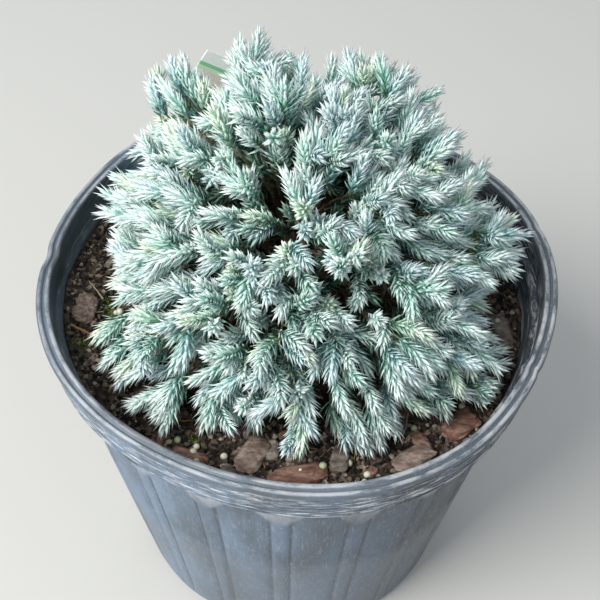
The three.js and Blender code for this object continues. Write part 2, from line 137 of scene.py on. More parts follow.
def tube(points, radii, sides, relief=None):  # a closed limb of triangles along points
    slopes = unit(np.gradient(points, axis=0))
    guide = np.array([0.31, 0.17, 0.93]) if abs(slopes[0][2]) < 0.9 else np.array([1.0, 0.2, 0.1])
    side = unit(np.cross(slopes, guide))
    third = np.cross(slopes, side)
    turn = np.arange(sides) * fullTurn / sides
    reach = np.asarray(radii)[:, None] * (1 if relief is None else relief)
    ring = (points[:, None, :] + side[:, None, :] * (reach * np.cos(turn))[..., None]
            + third[:, None, :] * (reach * np.sin(turn))[..., None])
    count = len(points)
    vertices = np.concatenate([ring.reshape(-1, 3), points[:1], points[-1:]])
    around, following = np.arange(sides), (np.arange(sides) + 1) % sides
    faces = []
    for row in range(count - 1):
        low, high = row * sides, (row + 1) * sides
        faces.append(np.stack([low + around, low + following, high + following], -1))
        faces.append(np.stack([low + around, high + following, high + around], -1))
    last = (count - 1) * sides
    faces.append(np.stack([np.full(sides, count * sides), following, around], -1))
    faces.append(np.stack([np.full(sides, count * sides + 1), last + around, last + following], -1))
    return vertices, np.concatenate(faces)


# Camera, as the photograph was taken: from above the front, a little to the left

def makeCamera():
    view = {
        "place": (0.0, -334.656, 602.831),
        "down": 0.8257710, "yaw": 0.0035331, "pitch": -0.0389926, "roll": 0.0263808,
        "focalPixels": 906.1095727, "pixelsWide": 600, "sensor": 36.0,
    }

    def turned(first, second, angle):
        return (math.cos(angle) * first + math.sin(angle) * second,
                math.cos(angle) * second - math.sin(angle) * first)

    forward = Vector((0, math.cos(view["down"]), -math.sin(view["down"])))
    right = Vector((1, 0, 0))
    above = right.cross(forward)
    forward, right = turned(forward, right, view["yaw"])
    forward, above = turned(forward, above, view["pitch"])
    right, above = turned(right, above, view["roll"])
    camera = bpy.data.objects.new("camera", bpy.data.cameras.new("camera"))
    axes = Matrix((right, above, -forward)).transposed()
    camera.matrix_world = Matrix.Translation(Vector(view["place"]) * mm) @ axes.to_4x4()
    camera.data.sensor_width = view["sensor"]
    camera.data.lens = view["focalPixels"] * view["sensor"] / view["pixelsWide"]
    bpy.context.scene.collection.objects.link(camera)
    bpy.context.scene.camera = camera


def makeLight():  # places and sizes in metres
    aim = Vector((0, 0, 0.2))
    sky = {"tone": "#e6eef4", "strength": 0.57}
    lamps = [
        {"name": "windowLight", "place": (-1.25, -0.85, 1.9), "size": 1.1, "power": 61, "tone": "#fffdf8"},
        {"name": "fillLight", "place": (1.6, -1.2, 1.3), "size": 1.8, "power": 4, "tone": "#eaf2ff"},
        {"name": "backLight", "place": (-0.3, 1.8, 1.6), "size": 1.4, "power": 5, "tone": "#f2f6ff"},
    ]
    bpy.context.scene.view_settings.view_transform = "Standard"  # keeps the whites of the needle tips
    world = bpy.data.worlds.new("paleSky")
    bpy.context.scene.world = world
    world.use_nodes = True
    background = world.node_tree.nodes["Background"]
    background.inputs["Color"].default_value = linear(sky["tone"])
    background.inputs["Strength"].default_value = sky["strength"]
    for lamp in lamps:
        light = bpy.data.lights.new(lamp["name"], "AREA")
        light.size = lamp["size"]
        light.energy = lamp["power"]
        light.color = linear(lamp["tone"])[:3]
        holder = bpy.data.objects.new(lamp["name"], light)
        place = Vector(lamp["place"])
        holder.location = place
        holder.rotation_euler = (aim - place).to_track_quat("-Z", "Y").to_euler()
        bpy.context.scene.collection.objects.link(holder)


def makeFloor():
    floorSize = 3000
    # Matt painted board: an even, pale ground that throws soft light back up at the pot
    material, tree, shader = newMaterial("paintedBoard", "#c9c8c4", 0.85, 1.5)
    grain = addNode(tree, "TexNoise", {}, {"Scale": 60.0, "Detail": 4.0})  # a sixtieth of the floor's width
    addNode(tree, "Bump", {}, {"Strength": 0.05, "Height": grain.outputs["Fac"]}, to=shader.inputs["Normal"])
    corners = [(-floorSize, -floorSize, 0), (floorSize, -floorSize, 0),
               (floorSize, floorSize, 0), (-floorSize, floorSize, 0)]
    floor = meshPiece("floor", corners, [(0, 1, 2, 3)], [material])


makeCamera()
makeLight()
makeFloor()
print("camera, light and floor made")


# The pot's sizes, as in the solids

pot = {
    "height": 240, "rimRadius": 140, "baseRadius": 108, "shoulderRadius": 131, "shoulderHeight": 214,
    "wall": 3.4, "bandHeight": 224, "bandRadius": 132.2, "floor": 3,
    # waves round the rim: how many, and how far each goes with the cosine and the sine
    "warp": [(2, 0.53, -2.03), (3, 1.38, 0.56), (4, -0.1, 2.4)],
    # panels: turn and half-width in degrees, with creased edges, hollow faces and arched tops
    "panels": 20, "panelTurn": 6.5, "panelHalf": 6.5, "panelDepth": 0.55, "panelSwell": 0.5, "edgeSoft": 1.2,
    "creaseDepth": 1.3, "creaseHalf": 0.75,
    "archTop": 201, "archDrop": 12, "archCurve": 2.4, "archSoft": 5, "archLine": 0.5, "archLineHalf": 2.2,
    "reliefStart": 9, "reliefRise": 6, "columnsPerPanel": 26,
    # the skirt under the lip: its heights, and how it spreads and ripples
    "skirtFoot": 217, "skirtTop": 235.4, "skirtRadius": 136.9, "skirtSpread": 2.4 / 19,
    "ripple": 0.32, "ripplePitch": 4.6,
    # softened plastic: how far its waves stand out, how many go round and how tall they are
    "wave": 0.45, "waveTurns": 3.1, "waveHeight": 70, "fullWaveFrom": 100,
    # nicks in the rim: azimuth, half-width in degrees and depth
    "nicks": [(179, 2.6, 1.5), (14, 1.2, 0.8), (262, 1.5, 0.5), (331, 1.1, 0.6), (98, 1.8, 0.7)],
    "nickStart": 214, "nickRise": 22, "nickRadius": 131.5,
}


def warpAt(turn, height):
    stand = sum(c * np.cos(n * turn) + s * np.sin(n * turn) for n, c, s in pot["warp"])
    return stand * height / pot["height"]


def wallRadius(height):
    return pot["baseRadius"] + (pot["shoulderRadius"] - pot["baseRadius"]) * height / pot["shoulderHeight"]


def innerRadius(height):
    inBand = np.asarray(height) > pot["bandHeight"]
    return np.where(inBand, pot["bandRadius"], wallRadius(height) - pot["wall"])


def panelRelief(turn, height):  # long shallow panels with creased edges and arched tops
    step = 360 / pot["panels"]
    across = (np.degrees(turn) - pot["panelTurn"] + step / 2) % step - step / 2
    fromEdge = np.abs(np.abs(across) - pot["panelHalf"])
    crease = np.exp(-(fromEdge / pot["creaseHalf"]) ** 2)
    inside = np.clip((pot["panelHalf"] - np.abs(across)) / pot["edgeSoft"], 0, 1)
    swell = np.clip(1 - (across / pot["panelHalf"]) ** 2, 0, 1)
    outwards = np.clip(np.abs(across) / pot["panelHalf"], 0, 1)
    arch = pot["archTop"] - pot["archDrop"] * outwards ** pot["archCurve"]
    shown = np.clip((arch - height) / pot["archSoft"], 0, 1)
    shown = shown * np.clip((height - pot["reliefStart"]) / pot["reliefRise"], 0, 1)
    archLine = np.exp(-((height - arch) / pot["archLineHalf"]) ** 2) * inside * pot["archLine"]
    depth = crease * pot["creaseDepth"] + inside * (pot["panelDepth"] - pot["panelSwell"] * swell)
    return -depth * shown - archLine


def potProfile():  # radius and height, from the middle of the underside up the wall and down inside
    rim, top, band = pot["rimRadius"], pot["height"], pot["bandRadius"]
    base, floor = pot["baseRadius"], pot["floor"]
    foot = [(0, 0), (60, 0), (base - 8, 0), (base - 4.4, 0.3), (base - 2.4, 1.6), (base - 1, 4)]
    wall = [(wallRadius(h), h) for h in np.concatenate([np.arange(7, 176, 6.5), np.arange(178, 213, 1.5)])]
    edge, low = pot["shoulderRadius"], pot["shoulderHeight"]
    underSkirt = [(edge + 0.2, low - 0.8), (edge + 1.6, low + 0.1), (edge + 3.8, low + 0.4),
                  (edge + 5.6, low + 0.5), (edge + 6.3, low + 1.2), (edge + 6.5, low + 2.4)]
    skirt = []
    for h in np.arange(pot["skirtFoot"] + 0.2, pot["skirtTop"], 0.75):
        up = h - pot["skirtFoot"]
        ripple = pot["ripple"] * math.sin(up * fullTurn / pot["ripplePitch"])
        skirt.append((pot["skirtRadius"] + pot["skirtSpread"] * up + ripple, h))
    # the lip's two beads, inwards and down from the rim's edge
    beads = [(0.5, 4), (0, 2.8), (0.1, 1.4), (0.8, 0.4), (1.8, 0), (2.6, 0.4), (3.1, 1.2), (3.6, 1.5),
             (4.2, 1.2), (4.8, 0.4), (5.7, 0), (6.7, 0.2), (7.3, 1), (7.6, 2.4)]
    lip = [(rim - inwards, top - down) for inwards, down in beads]
    lip += [(band, top - down) for down in (6, 11, 14.4)]
    lip += [(band - 0.3, 224.8), (band - 1.6, 224.3), (band - 3, 223.9)]
    inside = [(float(innerRadius(h)), h) for h in (223, 221, 218, 214, 209, 203, 190, 112, floor)]
    inside.append((0, floor))
    return foot, wall, underSkirt + skirt + lip + inside


def makePot():
    foot, wall, rest = potProfile()
    profile = np.array(foot + wall + rest)
    columns = pot["panels"] * pot["columnsPerPanel"]
    turn = np.arange(columns) * fullTurn / columns
    radius, height = profile[:, 0][:, None], profile[:, 1][:, None]
    onWall = np.zeros((len(profile), 1))
    onWall[len(foot):len(foot) + len(wall)] = 1
    outer = np.clip(radius / pot["fullWaveFrom"], 0, 1)
    reach = radius + warpAt(turn[None], height) * outer
    reach = reach + panelRelief(turn[None], height) * onWall
    nearRim = np.clip((height - pot["nickStart"]) / pot["nickRise"], 0, 1) * (radius > pot["nickRadius"])
    for azimuth, width, depth in pot["nicks"]:
        away = (np.degrees(turn[None]) - azimuth + 180) % 360 - 180
        reach = reach - depth * np.exp(-(away / width) ** 2) * nearRim
    around = pot["waveTurns"]
    wave = np.array([[noise.noise(Vector((around * math.cos(t), around * math.sin(t), h / pot["waveHeight"])))
                      for t in turn] for h in profile[:, 1]])
    reach = reach + pot["wave"] * wave * outer  # moulded plastic that has softened in the sun
    points = np.stack([reach * np.cos(turn), reach * np.sin(turn), np.broadcast_to(height, reach.shape)], -1)
    faces = ringFaces(len(profile) - 1, columns)
    piece = meshPiece("potShell", points.reshape(-1, 3), faces, [weatheredPolyethylene()], smooth=True)
    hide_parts("pot")


def weatheredPolyethylene():
    # Moulded polyethylene, black when new: sun and rubbing leave it blue-grey and chalky, with pale scuffs
    look = {"deep": "#53616f", "chalk": "#7c90a8", "scuff": "#c9cad0", "pale": "#e4e5ea", "grimeAndShade": "#343c46",
            "dust": "#8f969e", "shade": "#2a2f35", "lip": "#5d666e"}
    material, tree, shader = newMaterial("weatheredPolyethylene", look["chalk"], 0.52, 1.51)
    place = addNode(tree, "TexCoord", {}, {}).outputs["Object"]
    axes = addNode(tree, "SeparateXYZ", {}, {"Vector": place}).outputs
    height, width = axes["Z"], axes["X"]
    # chalky clouds of about 30 mm, drawn out upwards by the mould
    drawn = addNode(tree, "Mapping", {}, {"Vector": place, "Scale": (1, 1, 0.35)}).outputs["Vector"]
    clouds = addNode(tree, "TexNoise", {}, {"Vector": drawn, "Scale": perMetre(29.41), "Detail": 6.0,
                                            "Roughness": 0.62}).outputs["Fac"]
    grey = addNode(tree, "ValToRGB", {}, {"Fac": clouds}, [(0.36, look["deep"]), (0.6, look["chalk"])])
    # painted shade: the grey is darkened across the pot towards its right (+x) side, away from the window
    # light
    across = addNode(tree, "MapRange", {}, {"Value": width, "From Min": -0.13, "From Max": 0.13})
    side = addNode(tree, "ValToRGB", {}, {"Fac": across.outputs["Result"]},
                   [(0.1, "#ffffff"), (0.5, "#e9e7e6"), (0.84, "#84817f")])
    # the chalk grey with the painted side shade laid over it
    bleached = addNode(tree, "Mix", {"data_type": "RGBA", "blend_type": "MULTIPLY"},
                       {0: 1.0, 6: grey.outputs["Color"], 7: side.outputs["Color"]})
    # degrees round the pot from the middle of a panel, and from the crease at its edge
    turn = addNode(tree, "Math", {"operation": "ARCTAN2"}, {0: axes["Y"], 1: width}).outputs[0]
    steps = [("MULTIPLY", 180 / math.pi), ("ADD", 180 / pot["panels"] - pot["panelTurn"] + 360),
             ("MODULO", 360 / pot["panels"]), ("SUBTRACT", 180 / pot["panels"]), ("ABSOLUTE", 0.0),
             ("SUBTRACT", pot["panelHalf"]), ("ABSOLUTE", 0.0)]
    turned = [turn]
    for operation, amount in steps:
        step = addNode(tree, "Math", {"operation": operation}, {0: turned[-1], 1: amount})
        turned.append(step.outputs[0])
    fromMiddle, fromCrease = turned[5], turned[7]
    # the corners between the arched tops, which narrow downwards at 300 degrees a metre
    corner = addNode(tree, "Math", {"operation": "MULTIPLY_ADD"},
                     {0: height, 1: 300.0, 2: fromMiddle}).outputs[0]
    # fine upright scratches about half a millimetre wide, and pale and dark specks where grit has struck
    thin = addNode(tree, "Mapping", {}, {"Vector": place, "Scale": (1, 1, 0.04)}).outputs["Vector"]
    scratches = addNode(tree, "TexNoise", {}, {"Vector": thin, "Scale": perMetre(1.111), "Detail": 3.0})
    scratches = scratches.outputs["Fac"]
    specks = addNode(tree, "TexNoise", {}, {"Vector": place, "Scale": perMetre(2.381), "Detail": 2.0})
    specks = specks.outputs["Fac"]
    # streaks that run round the rim
    level = addNode(tree, "Mapping", {}, {"Vector": place, "Scale": (0.8, 0.8, 10)}).outputs["Vector"]
    streaks = addNode(tree, "TexNoise", {}, {"Vector": level, "Scale": perMetre(11.765), "Detail": 8.0,
                                             "Roughness": 0.72}).outputs["Fac"]
    # an uneven line that splashed dust comes up to
    waver = addNode(tree, "TexNoise", {}, {"Vector": place, "Scale": perMetre(71.43), "Detail": 5.0})
    splash = addNode(tree, "Math", {"operation": "MULTIPLY_ADD"},
                     {0: waver.outputs["Fac"], 1: -60 * mm, 2: height}).outputs[0]
    flat = addNode(tree, "VectorMath", {"operation": "MULTIPLY"}, {0: place, 1: (1, 1, 0)}).outputs[0]
    away = addNode(tree, "VectorMath", {"operation": "LENGTH"}, {0: flat}).outputs["Value"]
    # coats laid over the chalk: colour, strength, then the ranges over which the coat comes in, each of
    # a pattern's value, or of a height, width or radius in metres
    coats = [
        # painted shade in the creases, fading out towards the arched tops and the foot; and the corners
        # between the arched tops, rubbed unevenly
        ("grimeAndShade", 0.6, (fromCrease, 0.62, 0.15), (height, 0.196, 0.188), (height, 0.008, 0.02)),
        ("scuff", 0.66, (corner, 62.6, 63.8), (clouds, 0.36, 0.54), (height, 0.183, 0.2),
         (height, 0.2125, 0.2095)),
        ("scuff", 0.26, (scratches, 0.55, 0.78)),
        ("scuff", 0.22, (specks, 0.62, 0.74)),
        ("grimeAndShade", 0.18, (specks, 0.42, 0.3)),
        # dark streaks round the rim, partly dirt and partly painted shade of its grooves, and its rubbed
        # ridges
        ("grimeAndShade", 0.7, (streaks, 0.45, 0.36), (height, 0.2105, 0.215), (height, 0.2395, 0.232)),
        ("pale", 1.0, (streaks, 0.5, 0.66), (height, 0.2105, 0.215), (height, 0.2395, 0.232)),
        # painted shadow: a dark band just under the overhanging skirt
        ("grimeAndShade", 0.55, (height, 0.2085, 0.2115), (height, 0.2146, 0.2128)),  # under the skirt
        ("lip", 0.6, (height, 0.236, 0.2382)),
        ("pale", 0.46, (streaks, 0.4, 0.56), (height, 0.2391, 0.2398)),
        ("dust", 0.24, (splash, 0.1, 0.078)),
        # painted shade over the far left of the rim
        ("shade", 0.35, (width, -0.105, -0.135), (height, 0.222, 0.232)),  # the rim's sheltered side
        # painted shade on the inside's band and wall, stronger on the left than on the right
        ("shade", 0.72, (away, 0.1338, 0.1322), (height, 0.2045, 0.2085), (width, 0.15, -0.1)),
        ("shade", 0.4, (away, 0.1312, 0.1304), (height, 0.2045, 0.2085), (width, 0.2, -0.05)),
    ]
    surface = bleached.outputs[2]
    for colour, strength, *ranges in coats:
        for value, start, end in ranges:
            strength = addNode(tree, "MapRange", {}, {"Value": value, "From Min": start, "From Max": end,
                                                      "To Max": strength}).outputs["Result"]
        coat = addNode(tree, "Mix", {"data_type": "RGBA"}, {0: strength, 6: surface, 7: linear(look[colour])})
        surface = coat.outputs[2]
    tree.links.new(surface, shader.inputs["Base Color"])
    addNode(tree, "MapRange", {}, {"Value": clouds, "From Min": 0.3, "From Max": 0.7,
                                   "To Min": 0.4, "To Max": 0.66}, to=shader.inputs["Roughness"])
    relief = addNode(tree, "Math", {"operation": "ADD"}, {0: scratches, 1: streaks}).outputs[0]
    addNode(tree, "Bump", {}, {"Strength": 0.16, "Distance": 0.8 * mm, "Height": relief},
            to=shader.inputs["Normal"])
    return material


makePot()
print("pot made")


# Potting mix: a lumpy bed, with crumbs, feed grains, moss and dry twigs lying on it

mix = {
    "height": 212, "flatRadius": 24, "edgeDrop": 5, "dropWidth": 103, "dropCurve": 1.5, "depth": 14,
    "rings": 110, "columns": 420, "edgeGap": 0.3, "skirtShare": 0.985,
    "lump": 2.2, "lumpSize": 13, "fine": 0.9, "fineSize": 3.1,
    "heapAzimuth": 180, "heapHeight": 16, "heapSpread": 0.35, "heapSteepness": 6,
}


def heapRise(turn, share):  # on the left the mix is heaped against the wall
    turned = np.cos(turn - math.radians(mix["heapAzimuth"]))
    return mix["heapHeight"] * np.exp((turned - 1) / mix["heapSpread"]) * share ** mix["heapSteepness"]


def bedLevel(turn, share):  # without its lumps
    return mix["height"] - mix["edgeDrop"] * share ** mix["dropCurve"] + heapRise(turn, share)


def bedHeight(x, y):
    share = np.clip((np.hypot(x, y) - mix["flatRadius"]) / mix["dropWidth"], 0, 1.03)
    lumps = noise.noise(Vector((x / mix["lumpSize"], y / mix["lumpSize"], 0.5))) * mix["lump"]
    crumbs = noise.noise(Vector((x / mix["fineSize"], y / mix["fineSize"], 4.5))) * mix["fine"]
    return bedLevel(np.arctan2(y, x), share) + lumps + crumbs


def peatAndBark():
    # Peat and composted bark, moist: nearly black between crumbs, brown where they have dried
    material, tree, shader = newMaterial("peatAndBark", "#2a1f18", 0.93, 1.45)
    place = addNode(tree, "TexCoord", {}, {}).outputs["Object"]
    crumbs = addNode(tree, "TexVoronoi", {}, {"Vector": place, "Scale": perMetre(2.381)}).outputs
    addNode(tree, "ValToRGB", {}, {"Fac": crumbs["Color"]},
            [(0.15, "#100c0a"), (0.5, "#352a23"), (0.78, "#5e5046"), (0.97, "#9c9082")],
            to=shader.inputs["Base Color"])
    addNode(tree, "Bump", {}, {"Strength": 0.8, "Distance": 1.5 * mm, "Height": crumbs["Distance"]},
            to=shader.inputs["Normal"])
    return material


def makeMix():
    rings, columns = mix["rings"], mix["columns"]
    turn = np.arange(columns) * fullTurn / columns
    edge = wallRadius(mix["height"] - mix["edgeDrop"] + heapRise(turn, 1)) - pot["wall"] - mix["edgeGap"]
    edge = edge + warpAt(turn, mix["height"])
    rows = []
    for share in np.linspace(0, 1, rings):
        radius = edge * share
        x, y = radius * np.cos(turn), radius * np.sin(turn)
        rows.append(np.stack([x, y, [bedHeight(a, b) for a, b in zip(x, y)]], -1))
    skirt = rows[-1].copy()
    skirt[:, :2] *= mix["skirtShare"]
    skirt[:, 2] -= mix["depth"]
    faces = ringFaces(rings, columns)[:, [0, 3, 2, 1]]  # facing up
    piece = meshPiece("pottingMix", np.concatenate(rows + [skirt]), faces, [peatAndBark()], smooth=True)
    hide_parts("soil")


def icosphere(divisions):
    mesh = bpy.data.meshes.new("ball")
    ball = bmesh.new()
    bmesh.ops.create_icosphere(ball, subdivisions=divisions, radius=1)
    ball.to_mesh(mesh)
    ball.free()
    points = np.array([v.co[:] for v in mesh.vertices])
    faces = np.array([p.vertices[:] for p in mesh.polygons])
    bpy.data.meshes.remove(mesh)
    return points, faces


def randomTurn(rng):
    axis = unit(rng.normal(size=3))
    return np.array(Matrix.Rotation(rng.uniform(0, fullTurn), 3, Vector(axis)))


def makeCrumbs():
    crumbs = {"count": 5200, "least": 0.7, "most": 2.5, "reach": 126.5, "clearHeart": 60, "level": 207,
              "seed": 21}
    tones = [("#14100d", 0.26), ("#382d26", 0.28), ("#5b4d43", 0.22), ("#7c6c60", 0.14), ("#a69b8d", 0.1)]
    rng = np.random.default_rng(crumbs["seed"])
    ball, faces = icosphere(1)
    parts = []
    for _ in range(crumbs["count"]):
        radius = math.sqrt(rng.uniform(crumbs["clearHeart"] ** 2, crumbs["reach"] ** 2))
        turn = rng.uniform(0, fullTurn)
        radius = min(radius, float(innerRadius(crumbs["level"]) + warpAt(turn, crumbs["level"])) - 2)
        x, y = radius * math.cos(turn), radius * math.sin(turn)
        size = rng.uniform(crumbs["least"], 1) * crumbs["most"] * rng.uniform(0.35, 1)
        broken = ball * rng.uniform(0.75, 1.2, (len(ball), 1))
        shape = broken * np.array([1, rng.uniform(0.5, 0.9), rng.uniform(0.4, 0.8)])
        points = shape @ randomTurn(rng).T * size + np.array([x, y, bedHeight(x, y) + size * 0.25])
        parts.append((points, faces, rng.choice(len(tones), p=[share for _, share in tones])))
    # Dried peat, crumbled: rough and dull, each crumb one colour
    materials = [newMaterial(f"driedPeat{index + 1}", tone, 0.9, 1.45)[0]
                 for index, (tone, _) in enumerate(tones)]
    piece = joinedPiece("mixCrumbs", parts, materials)


def pineBark(name, stops):
    # Pine bark broken into chips: layered and dull, reddish brown where it split, grey where it has weathered
    material, tree, shader = newMaterial(name, stops[1], 0.88, 1.48)
    place = addNode(tree, "TexCoord", {}, {}).outputs["Object"]
    drawn = addNode(tree, "Mapping", {}, {"Vector": place, "Scale": (1, 2.6, 5), "Rotation": (0.2, 0.1, 0.5)})
    layers = addNode(tree, "TexNoise", {}, {"Vector": drawn.outputs["Vector"], "Scale": perMetre(8.333),
                                            "Detail": 8.0, "Roughness": 0.68}).outputs["Fac"]
    addNode(tree, "ValToRGB", {}, {"Fac": layers}, list(zip((0.28, 0.46, 0.58, 0.75), stops)),
            to=shader.inputs["Base Color"])
    addNode(tree, "Bump", {}, {"Strength": 0.7, "Distance": 1.2 * mm, "Height": layers},
            to=shader.inputs["Normal"])
    return material


def makeChips():
    # azimuth, radius, length, width, thickness, turn and tilt of the large chips, as in the solids
    chips = [
        (259, 103, 22, 13, 7, 60, 8), (271, 113, 31, 12, 6, 18, -6), (283, 105, 14, 10, 6, 75, 5),
        (301, 117, 24, 11, 5, 32, 4), (317, 117, 22, 13, 6, 40, -5), (351, 116, 24, 11, 6, -84, 6),
        (188, 118, 20, 12, 6, 84, 24), (244, 116, 19, 8, 5, -20, 5), (70, 119, 20, 12, 5, -15, 5),
    ]
    small = {"count": 46, "least": 5, "most": 13, "inner": 88, "outer": 121, "seed": 33}
    chip = {"squareness": 0.62, "roughness": 0.2, "grain": 1.7, "wallGap": 2, "raised": 0.05}
    rng = np.random.default_rng(small["seed"])
    ball, faces = icosphere(4)
    for _ in range(small["count"]):
        length = rng.uniform(small["least"], small["most"])
        chips.append((rng.uniform(0, 360), rng.uniform(small["inner"], small["outer"]), length,
                      length * rng.uniform(0.4, 0.7), length * rng.uniform(0.25, 0.4),
                      rng.uniform(0, 180), rng.uniform(-18, 18)))
    parts = []
    for index, (azimuth, radius, length, width, thickness, turn, tilt) in enumerate(chips):
        shape = np.sign(ball) * np.abs(ball) ** chip["squareness"]  # squarer than a ball, as a broken slab is
        rough = np.array([noise.fractal(Vector(p * chip["grain"] + index * 9.0), 1.0, 2.1, 4) for p in shape])
        shape = shape * (1 + chip["roughness"] * rough)[:, None] * np.array([length, width, thickness]) / 2
        around = math.radians(azimuth)
        edge = float(innerRadius(mix["height"]) + warpAt(around, mix["height"]))
        radius = min(radius, edge - width / 2 - chip["wallGap"])
        x, y = radius * math.cos(around), radius * math.sin(around)
        turned = Matrix.Rotation(math.radians(turn), 3, "Z") @ Matrix.Rotation(math.radians(tilt), 3, "X")
        share = (radius - mix["flatRadius"]) / (edge - mix["flatRadius"])
        level = bedLevel(around, share) + thickness * chip["raised"]
        parts.append((shape @ np.array(turned).T + np.array([x, y, level]), faces, index % 3))
    kinds = [pineBark("pineBarkBrown", ("#3b312c", "#705e54", "#93827a", "#b5aaa1")),
             pineBark("pineBarkRed", ("#3b2a25", "#755347", "#957467", "#b29f95")),
             pineBark("pineBarkGrey", ("#37322e", "#685f58", "#867d75", "#aca49b"))]
    piece = joinedPiece("barkChips", parts, kinds, smooth=True)
    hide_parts(*[f"bark_chip_{index + 1:02d}" for index in range(9)])


def makeGrains():
    # Coated feed grains: small, round, off-white resin shells, some with a green tinge of algae
    seen = [(-112, -16), (-48, -98), (-34, -103), (4, -110), (23, -104), (28, -104), (37, -110), (-58, -94)]
    grains = {"extra": 34, "least": 1.35, "most": 2.0, "inner": 96, "outer": 123, "raised": 0.75,
              "greened": 0.25, "seed": 44}
    rng = np.random.default_rng(grains["seed"])
    ball, faces = icosphere(3)
    places = list(seen)
    for _ in range(grains["extra"]):
        turn, radius = rng.uniform(0, fullTurn), rng.uniform(grains["inner"], grains["outer"])
        places.append((radius * math.cos(turn), radius * math.sin(turn)))
    parts = []
    for x, y in places:
        size = rng.uniform(grains["least"], grains["most"])
        middle = np.array([x, y, bedHeight(x, y) + size * grains["raised"]])
        points = ball * size * rng.uniform(0.92, 1.06, 3) + middle
        parts.append((points, faces, int(rng.random() < grains["greened"])))
    pale = newMaterial("coatedFeedGrain", "#d9d6c4", 0.38, 1.5)[0]
    green = newMaterial("greenedFeedGrain", "#b9c29a", 0.45, 1.5)[0]
    piece = joinedPiece("feedGrains", parts, [pale, green], smooth=True)


def makeMoss():
    # Cushion moss: leafy threads a few millimetres high in small tufts, bright where the light reaches
    tufts = [(-101, -15, 7), (-106, -8, 5), (-97, -25, 4), (-114, -42, 5), (-49, -92, 4), (112, 34, 6),
             (26, 118, 7)]  # x, y and radius
    moss = {"density": 5, "shortest": 1.2, "tallest": 2.6, "leafHalf": (0.25, 0.45), "seed": 55}
    rng = np.random.default_rng(moss["seed"])
    parts = []
    for x, y, reach in tufts:
        for _ in range(int(reach * reach * moss["density"])):
            away, turn = reach * math.sqrt(rng.random()), rng.uniform(0, fullTurn)
            px, py = x + away * math.cos(turn), y + away * math.sin(turn)
            foot = np.array([px, py, bedHeight(px, py) - 0.3])
            lean = unit(np.array([rng.normal() * 0.5, rng.normal() * 0.5, 1.0]))
            side = unit(np.cross(lean, rng.normal(size=3))) * rng.uniform(*moss["leafHalf"])
            tall = rng.uniform(moss["shortest"], moss["tallest"]) * (1.15 - 0.6 * away / reach)
            third = unit(np.cross(side, lean)) * 0.3
            points = np.array([foot + side, foot - side, foot + third, foot + lean * tall])
            parts.append((points, np.array([(0, 1, 3), (1, 2, 3), (2, 0, 3)]), rng.integers(0, 2)))
    bright = newMaterial("mossBright", "#7d9a34", 0.75, 1.4)[0]
    deep = newMaterial("mossDeep", "#4b6424", 0.8, 1.4)[0]
    piece = joinedPiece("mossTufts", parts, [bright, deep])


def makeLitter():
    # Dead juniper twigs on the mix: dry and barkless, bleached orange brown
    # two ends, as x and y, and the thick end's radius
    seen = [((-121, -31), (-104, -35), 0.8), ((60, -70), (55, -92), 0.7), ((-72, -82), (-62, -92), 0.6),
            ((-108, -8), (-118, 4), 0.5), ((96, -58), (108, -49), 0.6), ((20, 119), (32, 112), 0.6)]
    litter = {"extra": 60, "least": 6, "most": 15, "inner": 84, "outer": 120, "kink": 0.25, "raised": 0.4,
              "sag": 0.6, "seed": 66}
    rng = np.random.default_rng(litter["seed"])
    for _ in range(litter["extra"]):
        turn, radius = rng.uniform(0, fullTurn), rng.uniform(litter["inner"], litter["outer"])
        first = np.array([math.cos(turn), math.sin(turn)]) * radius
        way = rng.uniform(0, fullTurn)
        length = rng.uniform(litter["least"], litter["most"])
        second = first + np.array([math.cos(way), math.sin(way)]) * length
        if np.hypot(*second) < litter["outer"]:
            seen.append((first, second, rng.uniform(0.25, 0.5)))
    parts, rows = [], 8
    for index, (first, second, thick) in enumerate(seen):
        shares = np.linspace(0, 1, rows)[:, None]
        flat = np.array(first) * (1 - shares) + np.array(second) * shares
        flat = flat + rng.normal(size=flat.shape) * litter["kink"]
        level = np.array([bedHeight(x, y) for x, y in flat]) + thick + litter["raised"]
        path = np.column_stack([flat, np.maximum(level, level.mean() - litter["sag"])])
        parts.append((*tube(path, np.linspace(thick, thick * 0.6, rows), 6), index % 2))
    dry = newMaterial("dryTwigOrange", "#9a6f4a", 0.85, 1.45)[0]
    bleached = newMaterial("dryTwigPale", "#a0907a", 0.85, 1.45)[0]
    piece = joinedPiece("dryTwigs", parts, [dry, bleached], smooth=True)


for makeLayer in (makeMix, makeCrumbs, makeChips, makeGrains, makeMoss, makeLitter):
    makeLayer()
print("potting mix, chips, grains, moss and litter made")


# Plant label: a blank card with plain printed bands, on a pointed leg

label = {
    "corner": (-70.8, 104.4, 276.9), "rise": (0.539, 0.098, 0.835), "run": (0.81, 0.212, -0.545),
    "height": 30, "width": 62, "thickness": 0.8, "border": 4,
    "legWidth": 9, "legStart": 24, "legLength": 76, "legPoint": 8, "pointHalf": 0.4,
    "bands": (0.57, 0.67, 0.75),  # shares of the height at which the rose, pale green and green bands end
}


